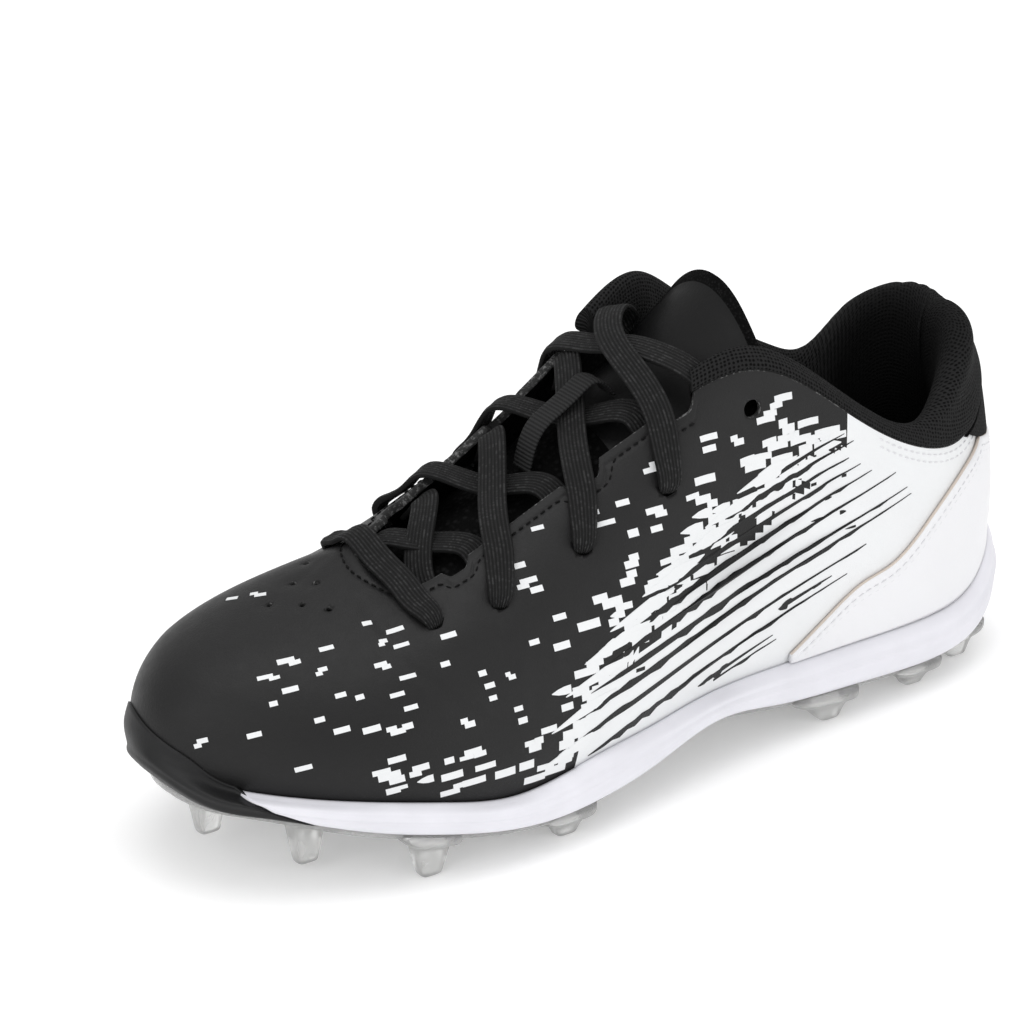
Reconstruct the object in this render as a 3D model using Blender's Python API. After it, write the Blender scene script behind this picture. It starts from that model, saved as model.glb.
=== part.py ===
"""Baseball cleat, left shoe: moulded studs, midsole, toe guard, hollow lasted
upper, heel counter, padded collar, tongue, insole and crossed flat laces.

Metres. +X to the toe, +Y to the wearer's left (outer side), +Z up.
The origin is the middle of the shoe's box, on the floor.
"""
import math

import bmesh
import bpy
import numpy as np
from mathutils import Matrix

# named sizes
LENGTH = 0.240
BALL_WIDTH = 0.088
INSTEP_HEIGHT = 0.100
SOLE_STACK = 0.020
STUD_SIZE = 0.010
PAD_SIZE = 0.017
PAD_THICKNESS = 0.0012
WALL = 0.002
FEATHER_INSET = 0.006
RIM_WIDTH = 0.0015
PLATE_THICKNESS = 0.002
PLATE_INSET = 0.005
GUARD_THICKNESS = 0.0025
GUARD_START = 0.915
GUARD_SLANT = 0.070
COUNTER_THICKNESS = 0.0013
INSOLE_THICKNESS = 0.003
EYELET_RADIUS = 0.0022
NOTCH_DEPTH = 0.005
NOTCH_WIDTH = 0.0100
LACE_WIDTH = 0.0068
LACE_THICKNESS = 0.0014
TONGUE_THICKNESS = 0.003
KEEPER_LENGTH = 0.0240
KEEPER_WIDTH = 0.0065
KEEPER_THICKNESS = 0.0008
KEEPER_RISE = 0.0098
KEEPER_PLACE = 0.526
KEEPER_SIDE = -0.010
CROSS_RISE = -0.0008

# named clearances
GAP = 0.0003
LACE_GAP = 0.0005
LINING_GAP = 0.0006

# Ribs round the shoe. x, y: widest line of the sole. tx, ty, tz: edge of the upper.
# so, su: how far the low handle goes out and up from the feather line.
# to, td: how far the high handle goes out and down from the edge.
# Shares: x of LENGTH, y and outward of BALL_WIDTH, z of INSTEP_HEIGHT.
RIBS = (
    # x, y, tx, ty, tz, so, su, to, td
    (0.004, 0.000, 0.028, 0.000, 0.760, 0.078, 0.20, 0.035, 0.18),
    (0.058, 0.230, 0.075, 0.205, 0.655, 0.065, 0.20, 0.030, 0.16),
    (0.200, 0.325, 0.208, 0.335, 0.705, 0.075, 0.18, 0.010, 0.18),
    (0.285, 0.335, 0.281, 0.340, 0.825, 0.080, 0.20, 0.010, 0.22),
    (0.380, 0.350, 0.370, 0.295, 0.970, 0.090, 0.22, 0.040, 0.28),
    (0.500, 0.405, 0.475, 0.215, 0.900, 0.105, 0.20, 0.150, 0.14),
    (0.640, 0.475, 0.612, 0.155, 0.728, 0.115, 0.18, 0.200, 0.08),
    (0.780, 0.445, 0.719, 0.130, 0.615, 0.110, 0.18, 0.180, 0.04),
    (0.920, 0.270, 0.748, 0.045, 0.605, 0.090, 0.23, 0.210, 0.07),
    (0.998, -0.030, 0.755, -0.035, 0.630, 0.100, 0.27, 0.260, 0.10),
    (0.952, -0.298, 0.750, -0.100, 0.650, 0.128, 0.28, 0.210, 0.10),
    (0.850, -0.455, 0.722, -0.138, 0.655, 0.120, 0.24, 0.170, 0.09),
    (0.730, -0.500, 0.668, -0.160, 0.710, 0.115, 0.21, 0.170, 0.10),
    (0.600, -0.420, 0.588, -0.182, 0.795, 0.110, 0.20, 0.160, 0.14),
    (0.500, -0.355, 0.479, -0.215, 0.935, 0.100, 0.22, 0.110, 0.20),
    (0.380, -0.312, 0.371, -0.295, 0.985, 0.090, 0.22, 0.040, 0.28),
    (0.285, -0.305, 0.281, -0.325, 0.840, 0.080, 0.20, 0.010, 0.22),
    (0.200, -0.315, 0.196, -0.320, 0.715, 0.075, 0.18, 0.010, 0.18),
    (0.058, -0.225, 0.075, -0.200, 0.655, 0.065, 0.20, 0.030, 0.16),
)

# Side of the sole along the shoe. x of LENGTH, heights of SOLE_STACK.
SOLE_SIDE = (
    # x, bottom, top, bed
    (0.000, 0.650, 1.700, 0.850),
    (0.033, 0.580, 1.475, 0.790),
    (0.083, 0.445, 1.130, 0.720),
    (0.146, 0.390, 1.010, 0.700),
    (0.250, 0.445, 1.025, 0.710),
    (0.354, 0.550, 1.030, 0.780),
    (0.442, 0.700, 1.035, 0.870),
    (0.521, 0.525, 1.010, 0.780),
    (0.604, 0.425, 1.010, 0.690),
    (0.658, 0.420, 0.910, 0.660),
    (0.700, 0.460, 0.860, 0.670),
    (0.771, 0.600, 0.990, 0.765),
    (0.854, 0.810, 1.145, 0.950),
    (0.938, 1.035, 1.270, 1.150),
    (0.972, 1.130, 1.390, 1.270),
    (1.000, 1.420, 1.650, 1.530),
)


def spline_solve(knots, values, closed):
    """Second derivatives of the cubic curve through the rows."""
    n = len(knots) - 1 if closed else len(knots)
    h = np.diff(knots)
    a = np.zeros((n, n))
    b = np.zeros((n, values.shape[1]))
    if not closed:
        a[0, 0] = 1.0
        a[-1, -1] = 1.0
    for i in range(n) if closed else range(1, n - 1):
        lo = (i - 1) % n
        hi = (i + 1) % n
        h0 = h[i - 1]
        h1 = h[i]
        a[i, lo] += h0
        a[i, i] += 2.0 * (h0 + h1)
        a[i, hi] += h1
        b[i] = 6.0 * ((values[hi] - values[i]) / h1 - (values[i] - values[lo]) / h0)
    m = np.linalg.solve(a, b)
    return np.vstack([m, m[:1]]) if closed else m


def spline_at(knots, values, second, t):
    """Values of the cubic curve at t."""
    i = np.clip(np.searchsorted(knots, t, side="right") - 1, 0, len(knots) - 2)
    h = (knots[i + 1] - knots[i])[:, None]
    p = (t - knots[i])[:, None] / h
    q = 1.0 - p
    bend = ((q ** 3 - q) * second[i] + (p ** 3 - p) * second[i + 1]) * h * h / 6.0
    return q * values[i] + p * values[i + 1] + bend


class Track:
    """Smooth curve through table rows, open or closed."""

    def __init__(self, values, knots=None, closed=False):
        values = np.asarray(values, float)
        if closed:
            values = np.vstack([values, values[:1]])
        if knots is None:
            steps = np.linalg.norm(np.diff(values[:, :3], axis=0), axis=1)
            knots = np.concatenate([[0.0], np.cumsum(steps)])
            knots = knots / knots[-1]
        self.knots = np.asarray(knots, float)
        self.values = values
        self.closed = closed
        self.second = spline_solve(self.knots, values, closed)

    def __call__(self, t):
        t = np.atleast_1d(np.asarray(t, float))
        if self.closed:
            t = np.mod(t, 1.0)
        else:
            t = np.clip(t, self.knots[0], self.knots[-1])
        return spline_at(self.knots, self.values, self.second, t)


RIB_UNITS = np.array([LENGTH, BALL_WIDTH, LENGTH, BALL_WIDTH, INSTEP_HEIGHT,
                      BALL_WIDTH, INSTEP_HEIGHT, BALL_WIDTH, INSTEP_HEIGHT])
RIB_ROWS = np.array(RIBS) * RIB_UNITS
OUTLINE_STEPS = np.linalg.norm(np.diff(np.vstack([RIB_ROWS, RIB_ROWS[:1]])[:, :2], axis=0), axis=1)
RIB_KNOTS = np.concatenate([[0.0], np.cumsum(OUTLINE_STEPS)]) / OUTLINE_STEPS.sum()
RIB_TRACK = Track(RIB_ROWS, RIB_KNOTS, True)
SIDE_ROWS = np.array(SOLE_SIDE) * np.array([LENGTH, SOLE_STACK, SOLE_STACK, SOLE_STACK])
SIDE_TRACK = Track(SIDE_ROWS[:, 1:], SIDE_ROWS[:, 0])


def outline(s, inset=0.0):
    """Widest line of the sole at s, moved inward."""
    p = RIB_TRACK(s)[:, :2]
    d = RIB_TRACK(s + 1e-4)[:, :2] - RIB_TRACK(s - 1e-4)[:, :2]
    d = d / np.linalg.norm(d, axis=1)[:, None]
    out = np.stack([-d[:, 1], d[:, 0]], axis=1)
    centre = np.array([LENGTH / 2.0, 0.0])
    flip = np.sign(np.sum(out * (p - centre), axis=1))
    sign = 1.0 if flip.sum() > 0 else -1.0
    out = out * sign
    return p - out * np.reshape(inset, (-1, 1)), out


def side(x):
    """Bottom, top and bed heights of the sole at x."""
    return SIDE_TRACK(x)


def skin(s, v, offset=0.0):
    """Outer face of the upper at station s and height share v, moved outward."""
    s = np.asarray(s, float)
    v = np.asarray(v, float)
    shape = np.broadcast(s, v).shape
    s = np.broadcast_to(s, shape).ravel()
    v = np.broadcast_to(v, shape).ravel()
    off = np.broadcast_to(np.asarray(offset, float), shape).ravel()
    p = rib_point(s, v)
    if np.any(off != 0.0):
        e = 2e-4
        ds = rib_point(s + e, v) - rib_point(s - e, v)
        lo = np.clip(v - 2e-3, -0.05, 1.05)
        dv = rib_point(s, lo + 4e-3) - rib_point(s, lo)
        n = np.cross(ds, dv)
        n = n / np.linalg.norm(n, axis=1)[:, None]
        n = n * TURN
        p = p + n * off[:, None]
    return p.reshape(shape + (3,))


def rib_point(s, v):
    """Point of the rib curve, feather line at v = 0 and edge of the upper at v = 1."""
    rows = RIB_TRACK(s)
    low, out = outline(s, FEATHER_INSET)
    bed = side(low[:, 0])[:, 2]
    p0 = np.column_stack([low, bed])
    p1 = p0 + np.column_stack([out * rows[:, 5:6], rows[:, 6]])
    p3 = rows[:, 2:5]
    p2 = p3 + np.column_stack([out * rows[:, 7:8], -rows[:, 8]])
    v = v[:, None]
    w = 1.0 - v
    return w ** 3 * p0 + 3.0 * w * w * v * p1 + 3.0 * w * v * v * p2 + v ** 3 * p3


TURN = 1.0
probe = skin(np.array([0.25]), np.array([0.3]), 0.001) - skin(np.array([0.25]), np.array([0.3]))
TURN = 1.0 if probe[0, 1] > 0.0 else -1.0

# Edge cuts of the eyestay, by x share of the edge, with outer and inner depth shares of NOTCH_DEPTH.
NOTCHES = (
    # x, outer, inner
    (0.692, 0.70, 0.70),
    (0.556, 1.00, 1.00),
    (0.458, 1.00, 1.00),
)

# Eyelet centres by x share, with distance under the edge for outer and inner side.
EYELETS = (
    # x, outer, inner: shares of BALL_WIDTH
    (0.724, 0.134, 0.134),
    (0.668, 0.172, 0.172),
    (0.583, 0.184, 0.184),
    (0.489, 0.200, 0.200),
    (0.387, 0.100, 0.100),
)

# Padded collar, by rib row from the outer corner back round the heel to the inner corner.
# rise of INSTEP_HEIGHT, lean, pad and depth of BALL_WIDTH.
COLLAR = (
    # rib, rise, lean, pad, depth
    (4.70, 0.045, 0.030, 0.048, 0.060),
    (4.00, 0.048, 0.040, 0.052, 0.080),
    (3.50, 0.046, 0.040, 0.055, 0.090),
    (3.00, 0.045, 0.038, 0.058, 0.110),
    (2.50, 0.044, 0.036, 0.062, 0.130),
    (2.00, 0.044, 0.034, 0.068, 0.150),
    (1.65, 0.080, 0.034, 0.080, 0.180),
    (1.35, 0.165, 0.045, 0.095, 0.230),
    (1.00, 0.225, 0.070, 0.110, 0.280),
    (0.50, 0.185, 0.108, 0.115, 0.320),
    (0.00, 0.142, 0.124, 0.115, 0.330),
    (-0.50, 0.195, 0.100, 0.115, 0.320),
    (-1.00, 0.235, 0.055, 0.110, 0.280),
    (-1.35, 0.185, 0.035, 0.095, 0.230),
    (-1.65, 0.078, 0.032, 0.080, 0.180),
    (-2.00, 0.044, 0.034, 0.068, 0.150),
    (-2.50, 0.046, 0.036, 0.062, 0.130),
    (-3.00, 0.052, 0.038, 0.058, 0.110),
    (-3.50, 0.060, 0.040, 0.055, 0.090),
    (-4.00, 0.070, 0.040, 0.052, 0.080),
    (-4.80, 0.060, 0.030, 0.048, 0.060),
)

# Top line of the heel counter. x of LENGTH, z of INSTEP_HEIGHT.
COUNTER = (
    # x, z
    (0.020, 0.745),
    (0.060, 0.610),
    (0.095, 0.570),
    (0.125, 0.540),
    (0.160, 0.490),
    (0.215, 0.400),
    (0.258, 0.370),
    (0.300, 0.300),
    (0.335, 0.232),
)

# Tongue, toe end to free top. x of LENGTH, y of BALL_WIDTH, z of INSTEP_HEIGHT.
TONGUE = (
    # x, y, z, half width, side drop, tilt
    (0.775, -0.020, 0.550, 0.110, 0.020, -0.010),
    (0.735, -0.010, 0.572, 0.170, 0.040, -0.010),
    (0.690, -0.005, 0.615, 0.205, 0.055, -0.008),
    (0.630, 0.000, 0.680, 0.230, 0.075, -0.012),
    (0.560, 0.008, 0.757, 0.222, 0.075, -0.022),
    (0.490, 0.012, 0.850, 0.222, 0.080, -0.028),
    (0.430, 0.008, 0.945, 0.200, 0.085, -0.020),
    (0.395, 0.006, 1.030, 0.195, 0.085, -0.010),
    (0.375, 0.006, 1.090, 0.192, 0.105, 0.000),
    (0.362, 0.008, 1.130, 0.175, 0.110, 0.000),
)

# Strap over the third crossing. place along it from the toe end, share of KEEPER_LENGTH, lift of KEEPER_RISE.
KEEPER = (
    # place, lift
    (-0.50, 0.10),
    (-0.33, 0.90),
    (-0.12, 0.94),
    (0.10, 0.96),
    (0.27, 0.92),
    (0.37, 0.70),
    (0.50, 0.12),
)

# Loose ends of the top lace, past the edge of the eyestay. x of LENGTH, y of BALL_WIDTH, z of INSTEP_HEIGHT.
TOP_OUTER = (
    # x, y, z
    (0.488, 0.110, 0.948),
    (0.472, -0.030, 1.008),
    (0.450, -0.115, 1.026),
    (0.420, -0.150, 1.026),
)
TOP_INNER = (
    # x, y, z
    (0.475, -0.090, 0.985),
    (0.459, 0.020, 1.000),
    (0.440, 0.115, 0.985),
)

# Studs, toe to heel, outer side then inner side. x of LENGTH, y of BALL_WIDTH,
# tip of SOLE_STACK, size and forward reach of STUD_SIZE.
STUDS = (
    # x, y, tip, size, reach
    (0.925, -0.060, 0.30, 0.95, 0.05),
    (0.869, 0.165, 0.15, 0.95, 0.05),
    (0.775, 0.350, 0.00, 1.00, 0.05),
    (0.625, 0.370, 0.00, 1.00, 0.05),
    (0.271, 0.250, 0.00, 1.00, 0.60),
    (0.154, 0.215, 0.00, 1.00, 0.10),
    (0.077, 0.150, 0.00, 0.95, 0.05),
    (0.855, -0.265, 0.15, 0.95, 0.05),
    (0.745, -0.365, 0.00, 1.00, 0.05),
    (0.610, -0.310, 0.00, 1.00, 0.05),
    (0.271, -0.225, 0.00, 1.00, 0.60),
    (0.154, -0.205, 0.00, 1.00, 0.10),
    (0.077, -0.145, 0.00, 0.95, 0.05),
)

# Seam of the toe guard on the upper. arc round the toe of BALL_WIDTH, z of SOLE_STACK.
GUARD_SEAM = (
    # arc, z
    (-0.30, 1.300),
    (-0.236, 1.370),
    (-0.186, 1.490),
    (-0.142, 1.610),
    (-0.090, 1.700),
    (-0.046, 1.760),
    (0.000, 1.810),
    (0.070, 1.860),
    (0.140, 1.840),
    (0.220, 1.700),
    (0.300, 1.480),
    (0.380, 1.300),
)

STATION_STEP = 0.0084
SIDE_LEVELS = 2
UPPER_LEVELS = 8
INNER_LEVELS = 6


def material(name, colour, rough):
    """Plain material for one piece."""
    mat = bpy.data.materials.new(name)
    mat.use_nodes = True
    shader = mat.node_tree.nodes["Principled BSDF"]
    shader.inputs["Base Color"].default_value = (colour[0], colour[1], colour[2], 1.0)
    shader.inputs["Roughness"].default_value = rough
    return mat


def add_object(name, verts, faces, mat):
    """Closed body from points and faces, faces turned outward."""
    mesh = bpy.data.meshes.new(name)
    mesh.from_pydata([tuple(v) for v in verts], [], [tuple(f) for f in faces])
    bm = bmesh.new()
    bm.from_mesh(mesh)
    bmesh.ops.triangulate(bm, faces=bm.faces)
    bmesh.ops.recalc_face_normals(bm, faces=bm.faces)
    if bm.calc_volume(signed=True) < 0.0:
        bmesh.ops.reverse_faces(bm, faces=bm.faces)
    bm.to_mesh(mesh)
    bm.free()
    obj = bpy.data.objects.new(name, mesh)
    bpy.context.scene.collection.objects.link(obj)
    obj.data.materials.append(mat)
    return obj


def combine(obj, cutters, operation):
    """Join to or cut from a body, then drop the cutters."""
    for cutter in cutters:
        cutter.hide_render = True
        cutter.display_type = "WIRE"
        mod = obj.modifiers.new(cutter.name, "BOOLEAN")
        mod.operation = operation
        mod.solver = "EXACT"
        mod.object = cutter
    graph = bpy.context.evaluated_depsgraph_get()
    result = bpy.data.meshes.new_from_object(obj.evaluated_get(graph))
    result.name = obj.name
    obj.modifiers.clear()
    obj.data = result
    for cutter in cutters:
        bpy.data.objects.remove(cutter)


def sheet_faces(nu, nv, wrap_u, wrap_v, first=0):
    """Faces of a grid of points, row u after row u."""
    faces = []
    for i in range(nu if wrap_u else nu - 1):
        j = (i + 1) % nu
        for k in range(nv if wrap_v else nv - 1):
            m = (k + 1) % nv
            faces.append((first + i * nv + k, first + j * nv + k,
                          first + j * nv + m, first + i * nv + m))
    return faces


def ring_body(name, grid, mat):
    """Ring of closed sections."""
    nu, nv = grid.shape[:2]
    return add_object(name, grid.reshape(-1, 3), sheet_faces(nu, nv, True, True), mat)


def bar_body(name, grid, mat):
    """Closed sections along a path, ends closed."""
    nu, nv = grid.shape[:2]
    faces = sheet_faces(nu, nv, False, True)
    faces.append(tuple(range(nv)))
    faces.append(tuple((nu - 1) * nv + k for k in reversed(range(nv))))
    return add_object(name, grid.reshape(-1, 3), faces, mat)


def slab_body(name, grid, mat):
    """Ring of open sections closed across the shoe at both ends of the section.

    Rows: heel, n outer side stations, toe, n inner side stations back to the heel."""
    nu, nv = grid.shape[:2]
    faces = sheet_faces(nu, nv, True, False)
    half = nu // 2
    for k, turn in ((0, False), (nv - 1, True)):
        for i in range(half):
            a = i
            b = i + 1
            c = (nu - i - 1) % nu
            d = (nu - i) % nu
            face = [j * nv + k for j in (a, b, c, d)]
            keep = []
            for j in face:
                if j not in keep:
                    keep.append(j)
            if turn:
                keep.reverse()
            if len(keep) > 2:
                faces.append(tuple(keep))
    return add_object(name, grid.reshape(-1, 3), faces, mat)


# Stations at equal x on both sides, so that the floor of the sole closes straight across.
FINE = np.linspace(0.0, 1.0, 4001)
FINE_X = outline(FINE)[0][:, 0]
TOE_INDEX = int(np.argmax(FINE_X))
HEEL_SHIFT = int(np.argmin(FINE_X))
S_TOE = FINE[TOE_INDEX]


def outer_station(x):
    """Station of the outer side at x."""
    return np.interp(x, FINE_X[:TOE_INDEX + 1], FINE[:TOE_INDEX + 1])


def inner_station(x):
    """Station of the inner side at x."""
    return np.interp(x, FINE_X[TOE_INDEX:][::-1], FINE[TOE_INDEX:][::-1])


def even_stations():
    """Stations closer together at the heel and the toe."""
    count = int(round(1.25 * LENGTH / STATION_STEP))
    turn = np.linspace(0.0, math.pi, count + 1)
    share = 0.5 - 0.5 * np.cos(turn)
    share = 0.35 * turn / math.pi + 0.65 * share
    x = FINE_X[0] + (FINE_X[TOE_INDEX] - FINE_X[0]) * share
    return x


def edge_x(s):
    """x of the upper's edge."""
    return RIB_TRACK(s)[:, 2]


THROAT_OUTER = FINE[(FINE > RIB_KNOTS[3]) & (FINE < RIB_KNOTS[9])]
THROAT_INNER = FINE[(FINE > RIB_KNOTS[9]) & (FINE < RIB_KNOTS[17])]


def throat_station(x, outer):
    """Station whose edge lies at x, in front of the collar."""
    if outer:
        return float(np.interp(x, edge_x(THROAT_OUTER), THROAT_OUTER))
    return float(np.interp(x, edge_x(THROAT_INNER)[::-1], THROAT_INNER[::-1]))


def notch_depth(s):
    """Depth of the edge cuts at s."""
    s = np.atleast_1d(s)
    depth = np.zeros(len(s))
    for x, outer, inner in NOTCHES:
        for is_outer, share in ((True, outer), (False, inner)):
            mid = throat_station(x * LENGTH, is_outer)
            reach = np.abs(s - mid) * OUTLINE_STEPS.sum()
            ramp = np.clip((NOTCH_WIDTH * 0.5 - reach) / (NOTCH_WIDTH * 0.3), 0.0, 1.0)
            depth = np.maximum(depth, NOTCH_DEPTH * share * ramp ** 0.5)
    return depth


def rib_length(s):
    """Length of each rib."""
    v = np.linspace(0.0, 1.0, 21)
    p = skin(np.asarray(s)[:, None], v[None, :])
    return np.linalg.norm(np.diff(p, axis=1), axis=2).sum(axis=1)


def edge_share(s):
    """Height share of the upper's edge, lowered at the cuts."""
    return 1.0 - notch_depth(s) / rib_length(s) * 0.85


def height_share(s, z):
    """Height share at which the rib reaches height z."""
    v = np.linspace(0.0, 1.0, 201)
    p = skin(np.asarray(s)[:, None], v[None, :])
    found = np.zeros(len(s))
    for i in range(len(s)):
        rise = np.maximum.accumulate(p[i, :, 2])
        found[i] = np.interp(z[i], rise, v)
    return found


def rim_share(s):
    """Height share of the sole's top edge on the upper."""
    base = outline(s, FEATHER_INSET * 0.4)[0]
    return height_share(s, side(base[:, 0])[:, 1])


def sole_stations():
    """Stations in slab order."""
    x = even_stations()
    outer = outer_station(x[1:-1])
    inner = inner_station(x[1:-1])[::-1]
    return np.concatenate([[0.0], outer, [S_TOE], inner])


SOLE_S = sole_stations()


def upper_stations():
    """Sole stations with extra ones at the edge cuts."""
    s = list(SOLE_S)
    for x, outer, inner in NOTCHES:
        for is_outer in (True, False):
            mid = throat_station(x * LENGTH, is_outer)
            reach = NOTCH_WIDTH / OUTLINE_STEPS.sum()
            s = [t for t in s if abs(t - mid) > reach * 0.62]
            s += [mid + reach * k for k in (-0.5, -0.36, -0.18, 0.18, 0.36, 0.5)]
    return np.array(sorted(s))


UPPER_S = upper_stations()


def upper_grid(s, levels, offset_out, offset_in, low_levels=SIDE_LEVELS, inner_levels=INNER_LEVELS):
    """Outer face up and inner face down, one closed section per station."""
    rim = rim_share(s)
    end = edge_share(s)
    low = np.linspace(0.0, 1.0, low_levels)[None, :] * rim[:, None]
    high = np.linspace(0.0, 1.0, levels)[None, 1:]
    high = rim[:, None] + (1.0 - rim)[:, None] * high - (1.0 - end)[:, None] * high ** 5
    v_out = np.concatenate([low, high], axis=1)
    v_in = end[:, None] * np.linspace(1.0, 0.0, inner_levels)[None, :] ** 0.9
    out = skin(s[:, None], v_out, offset_out)
    inn = skin(s[:, None], v_in, offset_in)
    return np.concatenate([out, inn], axis=1)


def sheared_station(x, level, outer):
    """Station near x, leaning with the end of the toe guard as level goes from 0 to 1."""
    back = (x / LENGTH - (GUARD_START - 0.12)) / 0.12
    front = (FINE_X[TOE_INDEX] - x) / (FINE_X[TOE_INDEX] - GUARD_START * LENGTH)
    weight = np.clip(np.minimum(back, front), 0.0, 1.0)
    moved = x + weight * GUARD_SLANT * LENGTH * (level - 0.5)
    return outer_station(moved) if outer else inner_station(moved)


def sheared_ring(x, level):
    """Slab stations at one level."""
    outer = sheared_station(x[1:-1], level, True)
    inner = sheared_station(x[1:-1], level, False)[::-1]
    return np.concatenate([[0.0], outer, [S_TOE], inner])


def sole_section_x():
    """Even stations with a close pair at the end of the toe guard."""
    pair = [GUARD_START * LENGTH, GUARD_START * LENGTH + 0.0007]
    x = [t for t in even_stations() if abs(t - pair[0]) > 0.0016]
    return np.array(sorted(x + pair))


def seam_height(s):
    """Height of the toe guard's seam at s."""
    arc = (np.asarray(s) - S_TOE) * OUTLINE_STEPS.sum() / BALL_WIDTH
    rows = np.array(GUARD_SEAM)
    return np.interp(arc, rows[:, 0], rows[:, 1]) * SOLE_STACK


# earlier objects out of the way
for old in list(bpy.data.objects):
    bpy.data.objects.remove(old)

EVA = material("white_foam", (0.80, 0.79, 0.83), 0.55)
CLEAR = material("clear_stud", (0.62, 0.63, 0.62), 0.25)
SKIN = material("black_synthetic", (0.02, 0.02, 0.022), 0.45)
WHITE = material("white_synthetic", (0.82, 0.82, 0.83), 0.35)
RUBBER = material("black_rubber", (0.015, 0.015, 0.016), 0.55)
KNIT = material("black_textile", (0.012, 0.012, 0.012), 0.9)
LINING = material("black_lining", (0.02, 0.02, 0.02), 0.85)
TONGUE_FACE = material("black_tongue", (0.018, 0.018, 0.02), 0.5)
CORD = material("black_lace", (0.015, 0.015, 0.015), 0.85)
WEBBING = material("black_webbing", (0.02, 0.02, 0.02), 0.9)


def midsole():
    """Cup of the sole with its rim, bed and toe rebate."""
    x = sole_section_x()
    front = np.concatenate([x, x[1:-1][::-1]])
    guarded = np.where(front > GUARD_START * LENGTH + 0.0003, 1.0, 0.0)[:, None]
    step = guarded[:, 0] * (GUARD_THICKNESS + GAP)
    rows = []
    for level, inset, rise in ((0.0, 0.0030, 0.0), (0.18, 0.0006, 0.18), (0.5, 0.0, 0.45)):
        s = sheared_ring(x, level)
        p, out = outline(s, inset + step)
        h = side(p[:, 0])
        low = h[:, 0] + (h[:, 1] - h[:, 0]) * (rise - guarded[:, 0] * rise * 0.2)
        rows.append(np.column_stack([p, low]))
    s = sheared_ring(x, 1.0)
    base = outline(s, FEATHER_INSET * 0.4)[0]
    h = side(base[:, 0])
    tall = h[:, 0] + (h[:, 1] - h[:, 0]) * (1.0 - 0.38 * guarded[:, 0])
    rim = height_share(s, tall)
    top_outer = skin(s, rim, GAP + RIM_WIDTH - guarded[:, 0] * 0.001)
    s_mid = sheared_ring(x, 0.8)
    waist, out = outline(s_mid, step)
    shoulder = top_outer * 0.35 + np.column_stack([waist, top_outer[:, 2]]) * 0.65
    shoulder[:, 2] = h[:, 0] + (tall - h[:, 0]) * 0.82
    rows.append(shoulder)
    rows.append(top_outer)
    rows.append(skin(s, rim, GAP))
    rows.append(skin(s, rim * 0.5, GAP))
    foot = skin(s, 0.0 * rim, GAP)
    rows.append(foot)
    floor = foot.copy()
    floor[:, 2] = side(floor[:, 0])[:, 2] - GAP
    rows.append(floor)
    return slab_body("midsole", np.stack(rows, axis=1), EVA)


def guard():
    """Rubber guard round the toe, over the rebate of the midsole."""
    start = GUARD_START * LENGTH + 0.0007 + GAP + 0.0012
    x = np.array([start] + [t for t in sole_section_x() if t > start + 0.0008])

    def ring(level):
        outer = sheared_station(x[:-1], level, True)
        inner = sheared_station(x[:-1], level, False)[::-1]
        return np.concatenate([outer, [S_TOE], inner])

    def at(level, inset, share):
        s = ring(level)
        p, out = outline(s, inset)
        h = side(p[:, 0])
        z = h[:, 0] + share * (h[:, 1] - h[:, 0])
        return np.column_stack([p, z])

    s1 = ring(1.0)
    base = outline(s1, FEATHER_INSET * 0.4)[0]
    h = side(base[:, 0])
    ledge = h[:, 0] + (h[:, 1] - h[:, 0]) * 0.62 + GAP * 1.6
    seam = np.maximum(seam_height(s1), ledge + 0.0012)
    v_seam = height_share(s1, seam)
    v_ledge = height_share(s1, ledge)
    v_mid = v_ledge + (v_seam - v_ledge) * 0.6
    rows = [
        at(0.0, 0.0022, 0.0),
        at(0.18, 0.0003, 0.18),
        at(0.5, 0.0, 0.45),
        at(0.87, 0.0, 0.78),
        skin(s1, v_mid, GAP + GUARD_THICKNESS * 0.75),
        skin(s1, v_seam, GAP + GUARD_THICKNESS * 0.35),
        skin(s1, v_seam, GAP * 1.3),
        skin(s1, v_mid, GAP * 1.3),
        skin(s1, v_ledge, GAP * 1.3),
        at(0.97, GUARD_THICKNESS, 0.55),
        at(0.75, GUARD_THICKNESS, 0.48),
        at(0.50, GUARD_THICKNESS, 0.33),
        at(0.22, GUARD_THICKNESS, 0.15),
        at(0.0, GUARD_THICKNESS, 0.0),
    ]
    rows[9][:, 2] = ledge - GAP * 0.3
    return bar_body("toe_guard", np.stack(rows, axis=1), RUBBER)


def upper():
    """Hollow lasted upper, open at the collar, the throat and underneath."""
    grid = upper_grid(UPPER_S, UPPER_LEVELS, 0.0, -WALL)
    obj = ring_body("upper", grid, SKIN)
    cutters = []
    for index, spot in enumerate(eyelets()):
        centre, normal = spot
        cutters.append(pin("eyelet_cut_%d" % index, centre, normal, EYELET_RADIUS, 0.009, 8))
    combine(obj, cutters, "DIFFERENCE")
    return obj


def eyelets():
    """Centre and outward direction of each eyelet, outer side then inner side."""
    spots = []
    for outer in (True, False):
        for row in EYELETS:
            s = throat_station(row[0] * LENGTH, outer)
            reach = row[1 if outer else 2] * BALL_WIDTH
            v = 1.0 - reach / rib_length(np.array([s]))[0]
            centre = skin(np.array([s]), np.array([v]))[0]
            normal = skin(np.array([s]), np.array([v]), 0.001)[0] - centre
            spots.append((centre, normal / np.linalg.norm(normal)))
    return spots


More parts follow.
